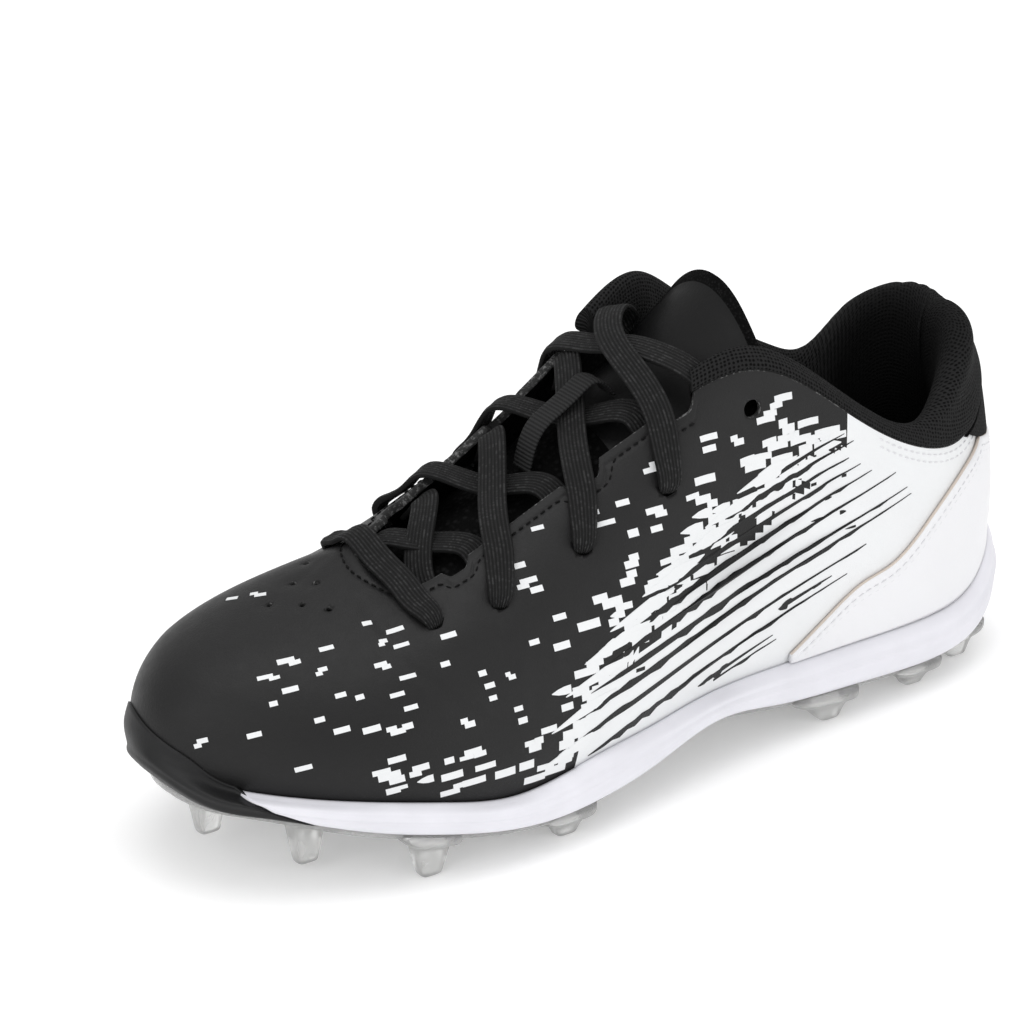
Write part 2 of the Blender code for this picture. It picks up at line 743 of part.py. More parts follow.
def pin(name, centre, axis, radius, length, count):
    """Short round cutter."""
    axis = np.asarray(axis, float)
    helper = np.array([0.0, 0.0, 1.0]) if abs(axis[2]) < 0.9 else np.array([1.0, 0.0, 0.0])
    a = np.cross(axis, helper)
    a = a / np.linalg.norm(a)
    b = np.cross(axis, a)
    turn = np.linspace(0.0, 2.0 * math.pi, count, endpoint=False)
    ring = radius * (np.cos(turn)[:, None] * a + np.sin(turn)[:, None] * b)
    grid = np.stack([centre - axis * length * 0.5 + ring, centre + axis * length * 0.5 + ring])
    return bar_body(name, grid, SKIN)


def plate():
    """Plate under the midsole with its studs moulded on."""
    x = even_stations()
    s = np.concatenate([[0.0], outer_station(x[1:-1]), [S_TOE], inner_station(x[1:-1])[::-1]])
    rows = []
    for inset, drop in ((0.0008, PLATE_THICKNESS), (0.0, PLATE_THICKNESS * 0.7), (0.0, 0.0)):
        p, out = outline(s, PLATE_INSET + inset)
        rows.append(np.column_stack([p, side(p[:, 0])[:, 0] - GAP - drop]))
    obj = slab_body("outsole", np.stack(rows, axis=1), CLEAR)
    studs = [stud(index, row) for index, row in enumerate(STUDS)]
    combine(obj, studs, "UNION")
    return obj


def stud(index, row):
    """One stud with the flared pad at its root."""
    x = row[0] * LENGTH
    y = row[1] * BALL_WIDTH
    tip = row[2] * SOLE_STACK
    size = row[3] * STUD_SIZE
    reach = row[4] * STUD_SIZE
    turn = (np.arange(8) + 0.5) * math.pi / 4.0
    cx = np.sign(np.cos(turn)) * np.abs(np.cos(turn)) ** 0.8
    cy = np.sign(np.sin(turn)) * np.abs(np.sin(turn)) ** 0.8
    base = side(np.array([x]))[0, 0] - GAP - PLATE_THICKNESS * 0.5
    slope = (side(np.array([x + 0.004]))[0, 0] - side(np.array([x - 0.004]))[0, 0]) / 0.008
    pad = row[3] * PAD_SIZE
    under = base - PLATE_THICKNESS * 0.5
    rows = []
    for half_x, half_y, z, tilt in (
            (pad * 0.50, pad * 0.40, base, 1.0),
            (pad * 0.46, pad * 0.36, under - PAD_THICKNESS, 1.0),
            (size * 0.50, size * 0.45, under - PAD_THICKNESS * 1.8, 0.8),
            (size * 0.32, size * 0.25, tip + size * 0.06, 0.0),
            (size * 0.26, size * 0.19, tip, 0.0)):
        forward = reach * (z - tip) / (base - tip)
        px = x + cx * half_x + np.where(cx > 0.0, cx * forward, 0.0)
        pz = z + (px - x) * slope * tilt
        rows.append(np.column_stack([px, y + cy * half_y, pz]))
    return bar_body("stud_%d" % index, np.stack(rows), CLEAR)


def insole():
    """Removable footbed."""
    x = even_stations()
    s = np.concatenate([[0.0], outer_station(x[1:-1]), [S_TOE], inner_station(x[1:-1])[::-1]])
    rows = []
    inset = FEATHER_INSET + WALL + LINING_GAP
    for more, rise in ((0.0, 0.0), (0.0, INSOLE_THICKNESS - 0.0006), (0.0008, INSOLE_THICKNESS)):
        p, out = outline(s, inset + more)
        rows.append(np.column_stack([p, side(p[:, 0])[:, 2] + rise]))
    return slab_body("insole", np.stack(rows, axis=1), LINING)


def counter():
    """Overlay round the heel."""
    rows = np.array(COUNTER) * np.array([LENGTH, INSTEP_HEIGHT])
    reach = rows[-1, 0]
    keep_out = [t for t in UPPER_S if t < outer_station(reach)]
    keep_in = [t - 1.0 for t in UPPER_S if t > inner_station(reach)]
    s = np.array(keep_in + keep_out)
    s = np.unique(np.concatenate([[inner_station(reach) - 1.0], s, [outer_station(reach)]]))
    base = outline(s, FEATHER_INSET * 0.4)[0]
    low = side(base[:, 0])[:, 1] + GAP * 1.7
    high = np.interp(base[:, 0], rows[:, 0], rows[:, 1])
    top = skin(s, np.ones(len(s)))[:, 2] - 0.0012
    high = np.minimum(high, top)
    high = np.maximum(high, low + 0.0012)
    v0 = height_share(s, low)
    v1 = height_share(s, high)
    v = v0[:, None] + (v1 - v0)[:, None] * np.linspace(0.0, 1.0, 6)[None, :]
    outer = skin(s[:, None], v, GAP + COUNTER_THICKNESS)
    inner = skin(s[:, None], v[:, ::-1], GAP)
    return bar_body("heel_counter", np.concatenate([outer, inner], axis=1), WHITE)


def collar():
    """Padded ring on the edge of the upper, from the outer corner to the inner corner."""
    rows = np.array(COLLAR)
    knots = np.concatenate([RIB_KNOTS[:-1] - 1.0, RIB_KNOTS])
    index = np.concatenate([np.arange(len(RIBS)) - len(RIBS), np.arange(len(RIBS) + 1)])
    s_rows = np.interp(rows[:, 0], index, knots)
    order = np.argsort(s_rows)
    track = Track(rows[order, 1:], s_rows[order])
    first = s_rows.min()
    last = s_rows.max()
    s = np.array([t for t in np.concatenate([UPPER_S - 1.0, UPPER_S]) if first + 0.004 < t < last - 0.004])
    s = np.concatenate([[first], s, [last]])
    value = track(s)
    rise = value[:, 0] * INSTEP_HEIGHT
    lean = value[:, 1] * BALL_WIDTH
    pad = value[:, 2] * BALL_WIDTH
    depth = value[:, 3] * BALL_WIDTH
    length = rib_length(s)
    edge = skin(s, np.ones(len(s)))
    inner = skin(s, np.ones(len(s)), -(WALL + LINING_GAP))
    inward = inner - edge
    inward[:, 2] = 0.0
    inward = inward / np.linalg.norm(inward, axis=1)[:, None]
    up = np.array([0.0, 0.0, 1.0])

    def put(base, a, b):
        return base + inward * np.reshape(a, (-1, 1)) + up * np.reshape(b, (-1, 1))

    crest = put(edge, lean, rise)
    deep = skin(s, 1.0 - depth / length, -(WALL + LINING_GAP))
    half = skin(s, 1.0 - 0.5 * depth / length, -(WALL + LINING_GAP))
    sections = [
        put(edge, 0.0, GAP * 1.4),
        put(edge, lean * 0.30 - 0.0008, rise * 0.50),
        put(crest, -pad * 0.25, -pad * 0.14),
        put(crest, 0.0, 0.0),
        put(crest, pad * 0.30, -pad * 0.10),
        put(crest, pad * 0.55, -pad * 0.45 - rise * 0.15),
        put(half, pad * 0.85, 0.0),
        put(deep, pad * 0.30, 0.0),
        put(deep, 0.0, 0.0),
        put(half, 0.0, 0.0),
        put(inner, 0.0, GAP * 1.4),
    ]
    return bar_body("collar", np.stack(sections, axis=1), KNIT)


def tongue_point(t, w):
    """Top face of the tongue: t along the table, w from -1 on the inner side to 1."""
    rows = np.array(TONGUE)
    scale = np.array([LENGTH, BALL_WIDTH, INSTEP_HEIGHT, BALL_WIDTH, INSTEP_HEIGHT, INSTEP_HEIGHT])
    track = Track(rows * scale)
    c = track(t)
    y = c[:, 1] + c[:, 3] * w
    z = c[:, 2] - c[:, 4] * w * w + c[:, 5] * w
    return np.column_stack([c[:, 0], y, z])


def tongue():
    """Tongue from under the throat to its free top."""
    t = np.linspace(0.0, 1.0, 19)
    w = np.linspace(-1.0, 1.0, 9)
    tt, ww = np.meshgrid(t, w, indexing="ij")
    top = tongue_point(tt.ravel(), ww.ravel()).reshape(19, 9, 3)
    du = np.gradient(top, axis=0)
    dv = np.gradient(top, axis=1)
    n = np.cross(du, dv)
    n = n / np.linalg.norm(n, axis=2)[:, :, None]
    n = n * np.where(n[:, :, 2:] > 0.0, 1.0, -1.0)
    thick = TONGUE_THICKNESS * (0.35 + 0.65 * np.clip((1.0 - np.abs(ww)) * 4.0, 0.0, 1.0))[:, :, None]
    low = (top - n * thick)[:, ::-1]
    return bar_body("tongue", np.concatenate([top, low], axis=1), TONGUE_FACE)


def ribbon(name, points, sides, width, thickness):
    """Flat cord with rounded edges through points, lying flat to the given directions."""
    points = np.asarray(points, float)
    sides = np.asarray(sides, float)
    track = Track(np.hstack([points, sides]))
    t = np.linspace(0.0, 1.0, 12)
    value = track(t)
    centre = value[:, :3]
    up = value[:, 3:6]
    along = np.gradient(centre, axis=0)
    along = along / np.linalg.norm(along, axis=1)[:, None]
    across = np.cross(along, up)
    across = across / np.linalg.norm(across, axis=1)[:, None]
    up = np.cross(across, along)
    half_w = width * 0.5
    half_t = thickness * 0.5
    shape = ((-1.0, 0.0), (-0.82, 1.0), (0.82, 1.0), (1.0, 0.0), (0.82, -1.0), (-0.82, -1.0))
    rings = [centre + across * (a * half_w) + up * (b * half_t) for a, b in shape]
    return bar_body(name, np.stack(rings, axis=1), CORD)


def lace_end(outer, index, inset, lift):
    """Point and facing direction on the eyestay, inset in from the eyelet towards the throat."""
    row = EYELETS[index]
    s = throat_station(row[0] * LENGTH, outer)
    reach = row[1 if outer else 2] * BALL_WIDTH
    v = 1.0 - reach * (1.0 - inset) / rib_length(np.array([s]))[0]
    base = skin(np.array([s]), np.array([v]))[0]
    normal = skin(np.array([s]), np.array([v]), 0.001)[0] - base
    normal = normal / np.linalg.norm(normal)
    return base + normal * lift, normal


def over_edge(outer, index):
    """Lace from near the eyelet up to the edge of the eyestay, and the way it faces."""
    lift = LACE_GAP + LACE_THICKNESS * 0.5
    near, n0 = lace_end(outer, index, 0.28, lift)
    middle, n1 = lace_end(outer, index, 0.62, lift)
    edge, n2 = lace_end(outer, index, 1.00, lift + LACE_GAP)
    return [near, middle, edge], [n0, n1, n2 * 0.6 + LACE_UP * 0.4]


def under_edge(outer, index):
    """Where a lace comes out from under the edge beside an eyelet."""
    point, normal = lace_end(outer, index, 1.32, -LACE_THICKNESS * 2.4)
    return point, LACE_UP


LACE_UP = np.array([0.34, 0.0, 0.94])


def strand(name, outer, start, crown):
    """Lace from an eyelet over the edge, across the tongue to the next eyelet's edge opposite."""
    points, facing = over_edge(outer, start)
    end, up = under_edge(not outer, start + 1)
    middle = points[-1] * 0.5 + end * 0.5 + LACE_UP * crown
    return ribbon(name, points + [middle, end], facing + [LACE_UP, up], LACE_WIDTH, LACE_THICKNESS)


def cross(number, start, crown):
    """Two strands joined where they cross."""
    one = strand("lace_cross_%d" % number, True, start, crown)
    two = strand("lace_cut_%d" % number, False, start, crown)
    combine(one, [two], "UNION")


def inner_cross():
    """Lowest crossing, under both edges."""
    pair = []
    for name, outer in (("lace_cross_0", True), ("lace_cut_0", False)):
        a, up = under_edge(outer, 0)
        b, up = under_edge(not outer, 1)
        middle = a * 0.5 + b * 0.5 + LACE_UP * 0.0012
        pair.append(ribbon(name, [a, middle, b], [LACE_UP] * 3, LACE_WIDTH, LACE_THICKNESS))
    combine(pair[0], pair[1:], "UNION")


def bar():
    """Lowest lace, straight over the toe end of the throat."""
    left, left_up = over_edge(True, 0)
    right, right_up = over_edge(False, 0)
    middle = left[-1] * 0.5 + right[-1] * 0.5 + LACE_UP * 0.0008
    ribbon("lace_bar", left + [middle] + right[::-1], left_up + [LACE_UP] + right_up[::-1],
           LACE_WIDTH, LACE_THICKNESS)


def top_lace():
    """Two top strands crossed and tucked in at the collar."""
    scale = np.array([LENGTH, BALL_WIDTH, INSTEP_HEIGHT])
    pair = []
    for name, outer, rows in (("lace_top", True, TOP_OUTER), ("lace_cut_top", False, TOP_INNER)):
        points, facing = over_edge(outer, 3)
        free = [np.array(row) * scale for row in rows]
        pair.append(ribbon(name, points + free, facing + [LACE_UP] * len(free), LACE_WIDTH, LACE_THICKNESS))
    combine(pair[0], pair[1:], "UNION")


def keeper():
    """Webbing strap along the tongue over the third crossing."""
    points = []
    for share, lift in KEEPER:
        x = KEEPER_PLACE * LENGTH - share * KEEPER_LENGTH
        rows = np.array(TONGUE)
        z = np.interp(x / LENGTH, rows[::-1, 0], rows[::-1, 2]) * INSTEP_HEIGHT
        points.append((x, KEEPER_SIDE * BALL_WIDTH, z + lift * KEEPER_RISE + KEEPER_THICKNESS))
    ribbon("lace_keeper", points, [LACE_UP] * len(points), KEEPER_WIDTH, KEEPER_THICKNESS)


midsole()
guard()
upper()
plate()
insole()
counter()
collar()
tongue()
bar()
inner_cross()
cross(1, 1, CROSS_RISE)
cross(2, 2, CROSS_RISE)
top_lace()
keeper()

# Origin at the middle of the box, on the floor.
points = np.vstack([[tuple(v.co) for v in obj.data.vertices] for obj in bpy.data.objects])
low_corner = points.min(axis=0)
high_corner = points.max(axis=0)
BOX_SHIFT = ((low_corner[0] + high_corner[0]) * 0.5, (low_corner[1] + high_corner[1]) * 0.5, low_corner[2])
for obj in bpy.data.objects:
    obj.data.transform(Matrix.Translation([-value for value in BOX_SHIFT]))
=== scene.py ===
"""Looks of the baseball cleat: left shoe, empty, standing on its studs.

Metres. The shapes are worked out from the same sizes and tables as the solids, in a frame
with the heel at x = 0, and moved to the middle of the shoe's box when a mesh is made.
"""

import math

import bmesh
import bpy
import numpy as np
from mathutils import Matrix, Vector


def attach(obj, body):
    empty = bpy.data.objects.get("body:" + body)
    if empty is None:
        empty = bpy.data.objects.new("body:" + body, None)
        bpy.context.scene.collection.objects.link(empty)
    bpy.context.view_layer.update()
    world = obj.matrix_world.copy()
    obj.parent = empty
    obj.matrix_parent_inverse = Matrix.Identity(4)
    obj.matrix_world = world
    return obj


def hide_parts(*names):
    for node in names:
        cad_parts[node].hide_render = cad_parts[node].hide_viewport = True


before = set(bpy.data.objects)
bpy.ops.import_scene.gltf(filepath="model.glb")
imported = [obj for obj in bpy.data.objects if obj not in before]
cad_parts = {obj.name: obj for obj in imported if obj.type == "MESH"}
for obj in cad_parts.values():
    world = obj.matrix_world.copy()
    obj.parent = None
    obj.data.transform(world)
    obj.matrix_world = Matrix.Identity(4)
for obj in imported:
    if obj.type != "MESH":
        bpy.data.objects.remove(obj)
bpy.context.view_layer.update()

# named sizes
LENGTH = 0.240
BALL_WIDTH = 0.088
INSTEP_HEIGHT = 0.100
SOLE_STACK = 0.020
STUD_SIZE = 0.010
PAD_SIZE = 0.017
PAD_THICKNESS = 0.0012
WALL = 0.002
FEATHER_INSET = 0.006
RIM_WIDTH = 0.0015
PLATE_THICKNESS = 0.002
PLATE_INSET = 0.005
GUARD_THICKNESS = 0.0025
GUARD_START = 0.915
GUARD_SLANT = 0.070
COUNTER_THICKNESS = 0.0013
INSOLE_THICKNESS = 0.003
EYELET_RADIUS = 0.0022
NOTCH_DEPTH = 0.005
NOTCH_WIDTH = 0.0100
LACE_WIDTH = 0.0068
LACE_THICKNESS = 0.0014
TONGUE_THICKNESS = 0.003
KEEPER_LENGTH = 0.0240
KEEPER_WIDTH = 0.0065
KEEPER_THICKNESS = 0.0008
KEEPER_RISE = 0.0098
KEEPER_PLACE = 0.526
KEEPER_SIDE = -0.010
CROSS_RISE = -0.0008

# How far the heel is tucked in above the sole and the toe box is fuller, as the photograph's outline has it.
HEEL_TUCK = 0.0025
TOE_FULLNESS = 0.0032

# Studs and their pads, slimmer than in the solids by these shares.
STUD_SLIM = 0.88
PAD_SLIM = 0.92

# named clearances
GAP = 0.0003
LACE_GAP = 0.0005
LINING_GAP = 0.0006

# Ribs round the shoe. x, y: widest line of the sole. tx, ty, tz: edge of the upper.
# so, su: how far the low handle goes out and up from the feather line.
# to, td: how far the high handle goes out and down from the edge.
# Shares: x of LENGTH, y and outward of BALL_WIDTH, z of INSTEP_HEIGHT.
RIBS = (
    # x, y, tx, ty, tz, so, su, to, td
    (0.004, 0.000, 0.028, 0.000, 0.760, 0.078, 0.20, 0.035, 0.18),
    (0.058, 0.230, 0.075, 0.205, 0.655, 0.065, 0.20, 0.030, 0.16),
    (0.200, 0.325, 0.208, 0.335, 0.705, 0.075, 0.18, 0.010, 0.18),
    (0.285, 0.335, 0.281, 0.340, 0.825, 0.080, 0.20, 0.010, 0.22),
    (0.380, 0.350, 0.370, 0.295, 0.970, 0.090, 0.22, 0.040, 0.28),
    (0.500, 0.405, 0.475, 0.215, 0.900, 0.105, 0.20, 0.150, 0.14),
    (0.640, 0.475, 0.612, 0.155, 0.728, 0.115, 0.18, 0.200, 0.08),
    (0.780, 0.445, 0.719, 0.130, 0.615, 0.110, 0.18, 0.180, 0.04),
    (0.920, 0.270, 0.748, 0.045, 0.605, 0.090, 0.23, 0.210, 0.07),
    (0.998, -0.030, 0.755, -0.035, 0.630, 0.100, 0.27, 0.260, 0.10),
    (0.952, -0.298, 0.750, -0.100, 0.650, 0.128, 0.28, 0.210, 0.10),
    (0.850, -0.455, 0.722, -0.138, 0.655, 0.120, 0.24, 0.170, 0.09),
    (0.730, -0.500, 0.668, -0.160, 0.710, 0.115, 0.21, 0.170, 0.10),
    (0.600, -0.420, 0.588, -0.182, 0.795, 0.110, 0.20, 0.160, 0.14),
    (0.500, -0.355, 0.479, -0.215, 0.935, 0.100, 0.22, 0.110, 0.20),
    (0.380, -0.312, 0.371, -0.295, 0.985, 0.090, 0.22, 0.040, 0.28),
    (0.285, -0.305, 0.281, -0.325, 0.840, 0.080, 0.20, 0.010, 0.22),
    (0.200, -0.315, 0.196, -0.320, 0.715, 0.075, 0.18, 0.010, 0.18),
    (0.058, -0.225, 0.075, -0.200, 0.655, 0.065, 0.20, 0.030, 0.16),
)

# Side of the sole along the shoe. x of LENGTH, heights of SOLE_STACK.
SOLE_SIDE = (
    # x, bottom, top, bed
    (0.000, 0.650, 1.700, 0.850),
    (0.033, 0.580, 1.475, 0.790),
    (0.083, 0.445, 1.130, 0.720),
    (0.146, 0.390, 1.010, 0.700),
    (0.250, 0.445, 1.025, 0.710),
    (0.354, 0.550, 1.030, 0.780),
    (0.442, 0.700, 1.035, 0.870),
    (0.521, 0.525, 1.010, 0.780),
    (0.604, 0.425, 1.010, 0.690),
    (0.658, 0.420, 0.910, 0.660),
    (0.700, 0.460, 0.860, 0.670),
    (0.771, 0.600, 0.990, 0.765),
    (0.854, 0.810, 1.145, 0.950),
    (0.938, 1.035, 1.270, 1.150),
    (0.972, 1.130, 1.390, 1.270),
    (1.000, 1.420, 1.650, 1.530),
)


def spline_solve(knots, values, closed):
    """Second derivatives of the cubic curve through the rows."""
    n = len(knots) - 1 if closed else len(knots)
    h = np.diff(knots)
    a = np.zeros((n, n))
    b = np.zeros((n, values.shape[1]))
    if not closed:
        a[0, 0] = 1.0
        a[-1, -1] = 1.0
    for i in range(n) if closed else range(1, n - 1):
        lo = (i - 1) % n
        hi = (i + 1) % n
        h0 = h[i - 1]
        h1 = h[i]
        a[i, lo] += h0
        a[i, i] += 2.0 * (h0 + h1)
        a[i, hi] += h1
        b[i] = 6.0 * ((values[hi] - values[i]) / h1 - (values[i] - values[lo]) / h0)
    m = np.linalg.solve(a, b)
    return np.vstack([m, m[:1]]) if closed else m


def spline_at(knots, values, second, t):
    """Values of the cubic curve at t."""
    i = np.clip(np.searchsorted(knots, t, side="right") - 1, 0, len(knots) - 2)
    h = (knots[i + 1] - knots[i])[:, None]
    p = (t - knots[i])[:, None] / h
    q = 1.0 - p
    bend = ((q ** 3 - q) * second[i] + (p ** 3 - p) * second[i + 1]) * h * h / 6.0
    return q * values[i] + p * values[i + 1] + bend


class Track:
    """Smooth curve through table rows, open or closed."""

    def __init__(self, values, knots=None, closed=False):
        values = np.asarray(values, float)
        if closed:
            values = np.vstack([values, values[:1]])
        if knots is None:
            steps = np.linalg.norm(np.diff(values[:, :3], axis=0), axis=1)
            knots = np.concatenate([[0.0], np.cumsum(steps)])
            knots = knots / knots[-1]
        self.knots = np.asarray(knots, float)
        self.values = values
        self.closed = closed
        self.second = spline_solve(self.knots, values, closed)

    def __call__(self, t):
        t = np.atleast_1d(np.asarray(t, float))
        if self.closed:
            t = np.mod(t, 1.0)
        else:
            t = np.clip(t, self.knots[0], self.knots[-1])
        return spline_at(self.knots, self.values, self.second, t)


RIB_UNITS = np.array([LENGTH, BALL_WIDTH, LENGTH, BALL_WIDTH, INSTEP_HEIGHT,
                      BALL_WIDTH, INSTEP_HEIGHT, BALL_WIDTH, INSTEP_HEIGHT])
RIB_ROWS = np.array(RIBS) * RIB_UNITS
OUTLINE_STEPS = np.linalg.norm(np.diff(np.vstack([RIB_ROWS, RIB_ROWS[:1]])[:, :2], axis=0), axis=1)
RIB_KNOTS = np.concatenate([[0.0], np.cumsum(OUTLINE_STEPS)]) / OUTLINE_STEPS.sum()
RIB_TRACK = Track(RIB_ROWS, RIB_KNOTS, True)
SIDE_ROWS = np.array(SOLE_SIDE) * np.array([LENGTH, SOLE_STACK, SOLE_STACK, SOLE_STACK])
SIDE_TRACK = Track(SIDE_ROWS[:, 1:], SIDE_ROWS[:, 0])


def outline(s, inset=0.0):
    """Widest line of the sole at s, moved inward, and its outward directions."""
    p = RIB_TRACK(s)[:, :2]
    d = RIB_TRACK(s + 1e-4)[:, :2] - RIB_TRACK(s - 1e-4)[:, :2]
    d = d / np.linalg.norm(d, axis=1)[:, None]
    out = np.stack([-d[:, 1], d[:, 0]], axis=1)
    return p - out * np.reshape(inset, (-1, 1)), out


def side(x):
    """Bottom, top and bed heights of the sole at x."""
    return SIDE_TRACK(x)


def skin(s, v, offset=0.0):
    """Outer face of the upper at station s and height share v, moved outward."""
    s = np.asarray(s, float)
    v = np.asarray(v, float)
    shape = np.broadcast(s, v, np.asarray(offset)).shape
    s = np.broadcast_to(s, shape).ravel()
    v = np.broadcast_to(v, shape).ravel()
    off = np.broadcast_to(np.asarray(offset, float), shape).ravel()
    p = rib_point(s, v)
    if np.any(off != 0.0):
        e = 2e-4
        ds = rib_point(s + e, v) - rib_point(s - e, v)
        lo = np.clip(v - 2e-3, -0.05, 1.05)
        dv = rib_point(s, lo + 4e-3) - rib_point(s, lo)
        n = np.cross(ds, dv)
        n = n / np.linalg.norm(n, axis=1)[:, None]
        n = n * TURN
        p = p + n * off[:, None]
    return p.reshape(shape + (3,))


def heel_share(s):
    """One at the back of the heel, fading out along both sides."""
    away = np.abs(np.mod(s + 0.5, 1.0) - 0.5)
    return np.exp(-(away / 0.062) ** 2)


def rib_point(s, v):
    """Point of the rib curve, feather line at v = 0 and edge of the upper at v = 1."""
    rows = RIB_TRACK(s)
    low, out = outline(s, FEATHER_INSET)
    bed = side(low[:, 0])[:, 2]
    p0 = np.column_stack([low, bed])
    p1 = p0 + np.column_stack([out * rows[:, 5:6], rows[:, 6]])
    p3 = rows[:, 2:5]
    p2 = p3 + np.column_stack([out * rows[:, 7:8], -rows[:, 8]])
    rise = np.clip((v - 0.06) / 0.30, 0.0, 1.0)
    tuck = HEEL_TUCK * heel_share(s) * rise * rise * (3.0 - 2.0 * rise)
    v = v[:, None]
    w = 1.0 - v
    point = w ** 3 * p0 + 3.0 * w * w * v * p1 + 3.0 * w * v * v * p2 + v ** 3 * p3
    point[:, 0] += tuck
    return point


# Sign that makes the upper's normals point outward, found from a point on the outer side.
TURN = 1.0
probe = skin(np.array([0.25]), np.array([0.3]), 0.001) - skin(np.array([0.25]), np.array([0.3]))
TURN = 1.0 if probe[0, 1] > 0.0 else -1.0

# Edge cuts of the eyestay, by x share of the edge, with outer and inner depth shares of NOTCH_DEPTH.
NOTCHES = (
    # x, outer, inner
    (0.692, 0.70, 0.70),
    (0.556, 1.00, 1.00),
    (0.458, 1.00, 1.00),
)

# Eyelet centres by x share, with distance under the edge for outer and inner side.
EYELETS = (
    # x, outer, inner: shares of BALL_WIDTH
    (0.724, 0.134, 0.134),
    (0.668, 0.172, 0.172),
    (0.583, 0.184, 0.184),
    (0.489, 0.200, 0.200),
    (0.387, 0.100, 0.100),
)

# Padded collar, by rib row from the outer corner back round the heel to the inner corner.
# rise of INSTEP_HEIGHT, lean, pad and depth of BALL_WIDTH.
COLLAR = (
    # rib, rise, lean, pad, depth
    (4.70, 0.045, 0.030, 0.048, 0.060),
    (4.00, 0.048, 0.040, 0.052, 0.080),
    (3.50, 0.046, 0.040, 0.055, 0.090),
    (3.00, 0.045, 0.038, 0.058, 0.110),
    (2.50, 0.044, 0.036, 0.062, 0.130),
    (2.00, 0.044, 0.034, 0.068, 0.150),
    (1.65, 0.080, 0.034, 0.080, 0.180),
    (1.35, 0.165, 0.045, 0.095, 0.230),
    (1.00, 0.225, 0.070, 0.110, 0.280),
    (0.50, 0.185, 0.108, 0.115, 0.320),
    (0.00, 0.142, 0.124, 0.115, 0.330),
    (-0.50, 0.195, 0.100, 0.115, 0.320),
    (-1.00, 0.235, 0.055, 0.110, 0.280),
    (-1.35, 0.185, 0.035, 0.095, 0.230),
    (-1.65, 0.078, 0.032, 0.080, 0.180),
    (-2.00, 0.044, 0.034, 0.068, 0.150),
    (-2.50, 0.046, 0.036, 0.062, 0.130),
    (-3.00, 0.052, 0.038, 0.058, 0.110),
    (-3.50, 0.060, 0.040, 0.055, 0.090),
    (-4.00, 0.070, 0.040, 0.052, 0.080),
    (-4.80, 0.060, 0.030, 0.048, 0.060),
)

# Top line of the heel counter. x of LENGTH, z of INSTEP_HEIGHT.
COUNTER = (
    # x, z
    (0.020, 0.745),
    (0.060, 0.610),
    (0.095, 0.570),
    (0.125, 0.540),
    (0.160, 0.490),
    (0.215, 0.400),
    (0.258, 0.370),
    (0.300, 0.300),
    (0.335, 0.232),
)

# Tongue, toe end to free top. x of LENGTH, y of BALL_WIDTH, z of INSTEP_HEIGHT.
TONGUE = (
    # x, y, z, half width, side drop, tilt
    (0.775, -0.020, 0.550, 0.110, 0.020, -0.010),
    (0.735, -0.010, 0.572, 0.170, 0.040, -0.010),
    (0.690, -0.005, 0.615, 0.205, 0.055, -0.008),
    (0.630, 0.000, 0.680, 0.230, 0.075, -0.012),
    (0.560, 0.008, 0.757, 0.222, 0.075, -0.022),
    (0.490, 0.012, 0.850, 0.222, 0.080, -0.028),
    (0.430, 0.014, 0.945, 0.205, 0.090, -0.020),
    (0.395, 0.020, 1.030, 0.208, 0.100, -0.012),
    (0.375, 0.030, 1.090, 0.215, 0.120, -0.005),
    (0.362, 0.034, 1.130, 0.208, 0.130, -0.006),
)

# Strap over the third crossing: place along it from its middle, as a share of KEEPER_LENGTH, and lift as a
# share of KEEPER_RISE.
KEEPER = (
    # place, lift
    (-0.50, 0.10),
    (-0.33, 0.90),
    (-0.12, 0.94),
    (0.10, 0.96),
    (0.27, 0.92),
    (0.37, 0.70),
    (0.50, 0.12),
)

# Loose ends of the top lace, past the edge of the eyestay. x of LENGTH, y of BALL_WIDTH, z of INSTEP_HEIGHT.
TOP_OUTER = (
    # x, y, z
    (0.462, -0.060, 1.025),
    (0.430, -0.150, 1.030),
    (0.410, -0.185, 0.990),
    (0.400, -0.195, 0.930),
)
TOP_INNER = (
    # x, y, z
    (0.475, -0.090, 0.985),
    (0.460, 0.020, 1.006),
    (0.447, 0.120, 1.005),
    (0.434, 0.190, 0.985),
    (0.422, 0.225, 0.945),
    (0.416, 0.232, 0.900),
)

# Lower edge of the textile band at the heel, by station from the back and height in metres.
HEEL_BAND = (
    # s, z
    (0.000, 0.0570),
    (0.032, 0.0584),
    (0.042, 0.0600),
    (0.050, 0.0618),
    (0.060, 0.0645),
)

# Studs, toe to heel, outer side then inner side. x of LENGTH, y of BALL_WIDTH,
# tip of SOLE_STACK, size and forward reach of STUD_SIZE.
STUDS = (
    # x, y, tip, size, reach
    (0.925, -0.060, 0.30, 0.95, 0.05),
    (0.869, 0.165, 0.15, 0.95, 0.05),
    (0.775, 0.350, 0.00, 1.00, 0.05),
    (0.625, 0.370, 0.00, 1.00, 0.05),
    (0.271, 0.250, 0.00, 1.00, 0.60),
    (0.154, 0.215, 0.00, 1.00, 0.10),
    (0.077, 0.150, 0.00, 0.95, 0.05),
    (0.855, -0.265, 0.15, 0.95, 0.05),
    (0.745, -0.365, 0.00, 1.00, 0.05),
    (0.610, -0.310, 0.00, 1.00, 0.05),
    (0.271, -0.225, 0.00, 1.00, 0.60),
    (0.154, -0.205, 0.00, 1.00, 0.10),
    (0.077, -0.145, 0.00, 0.95, 0.05),
)

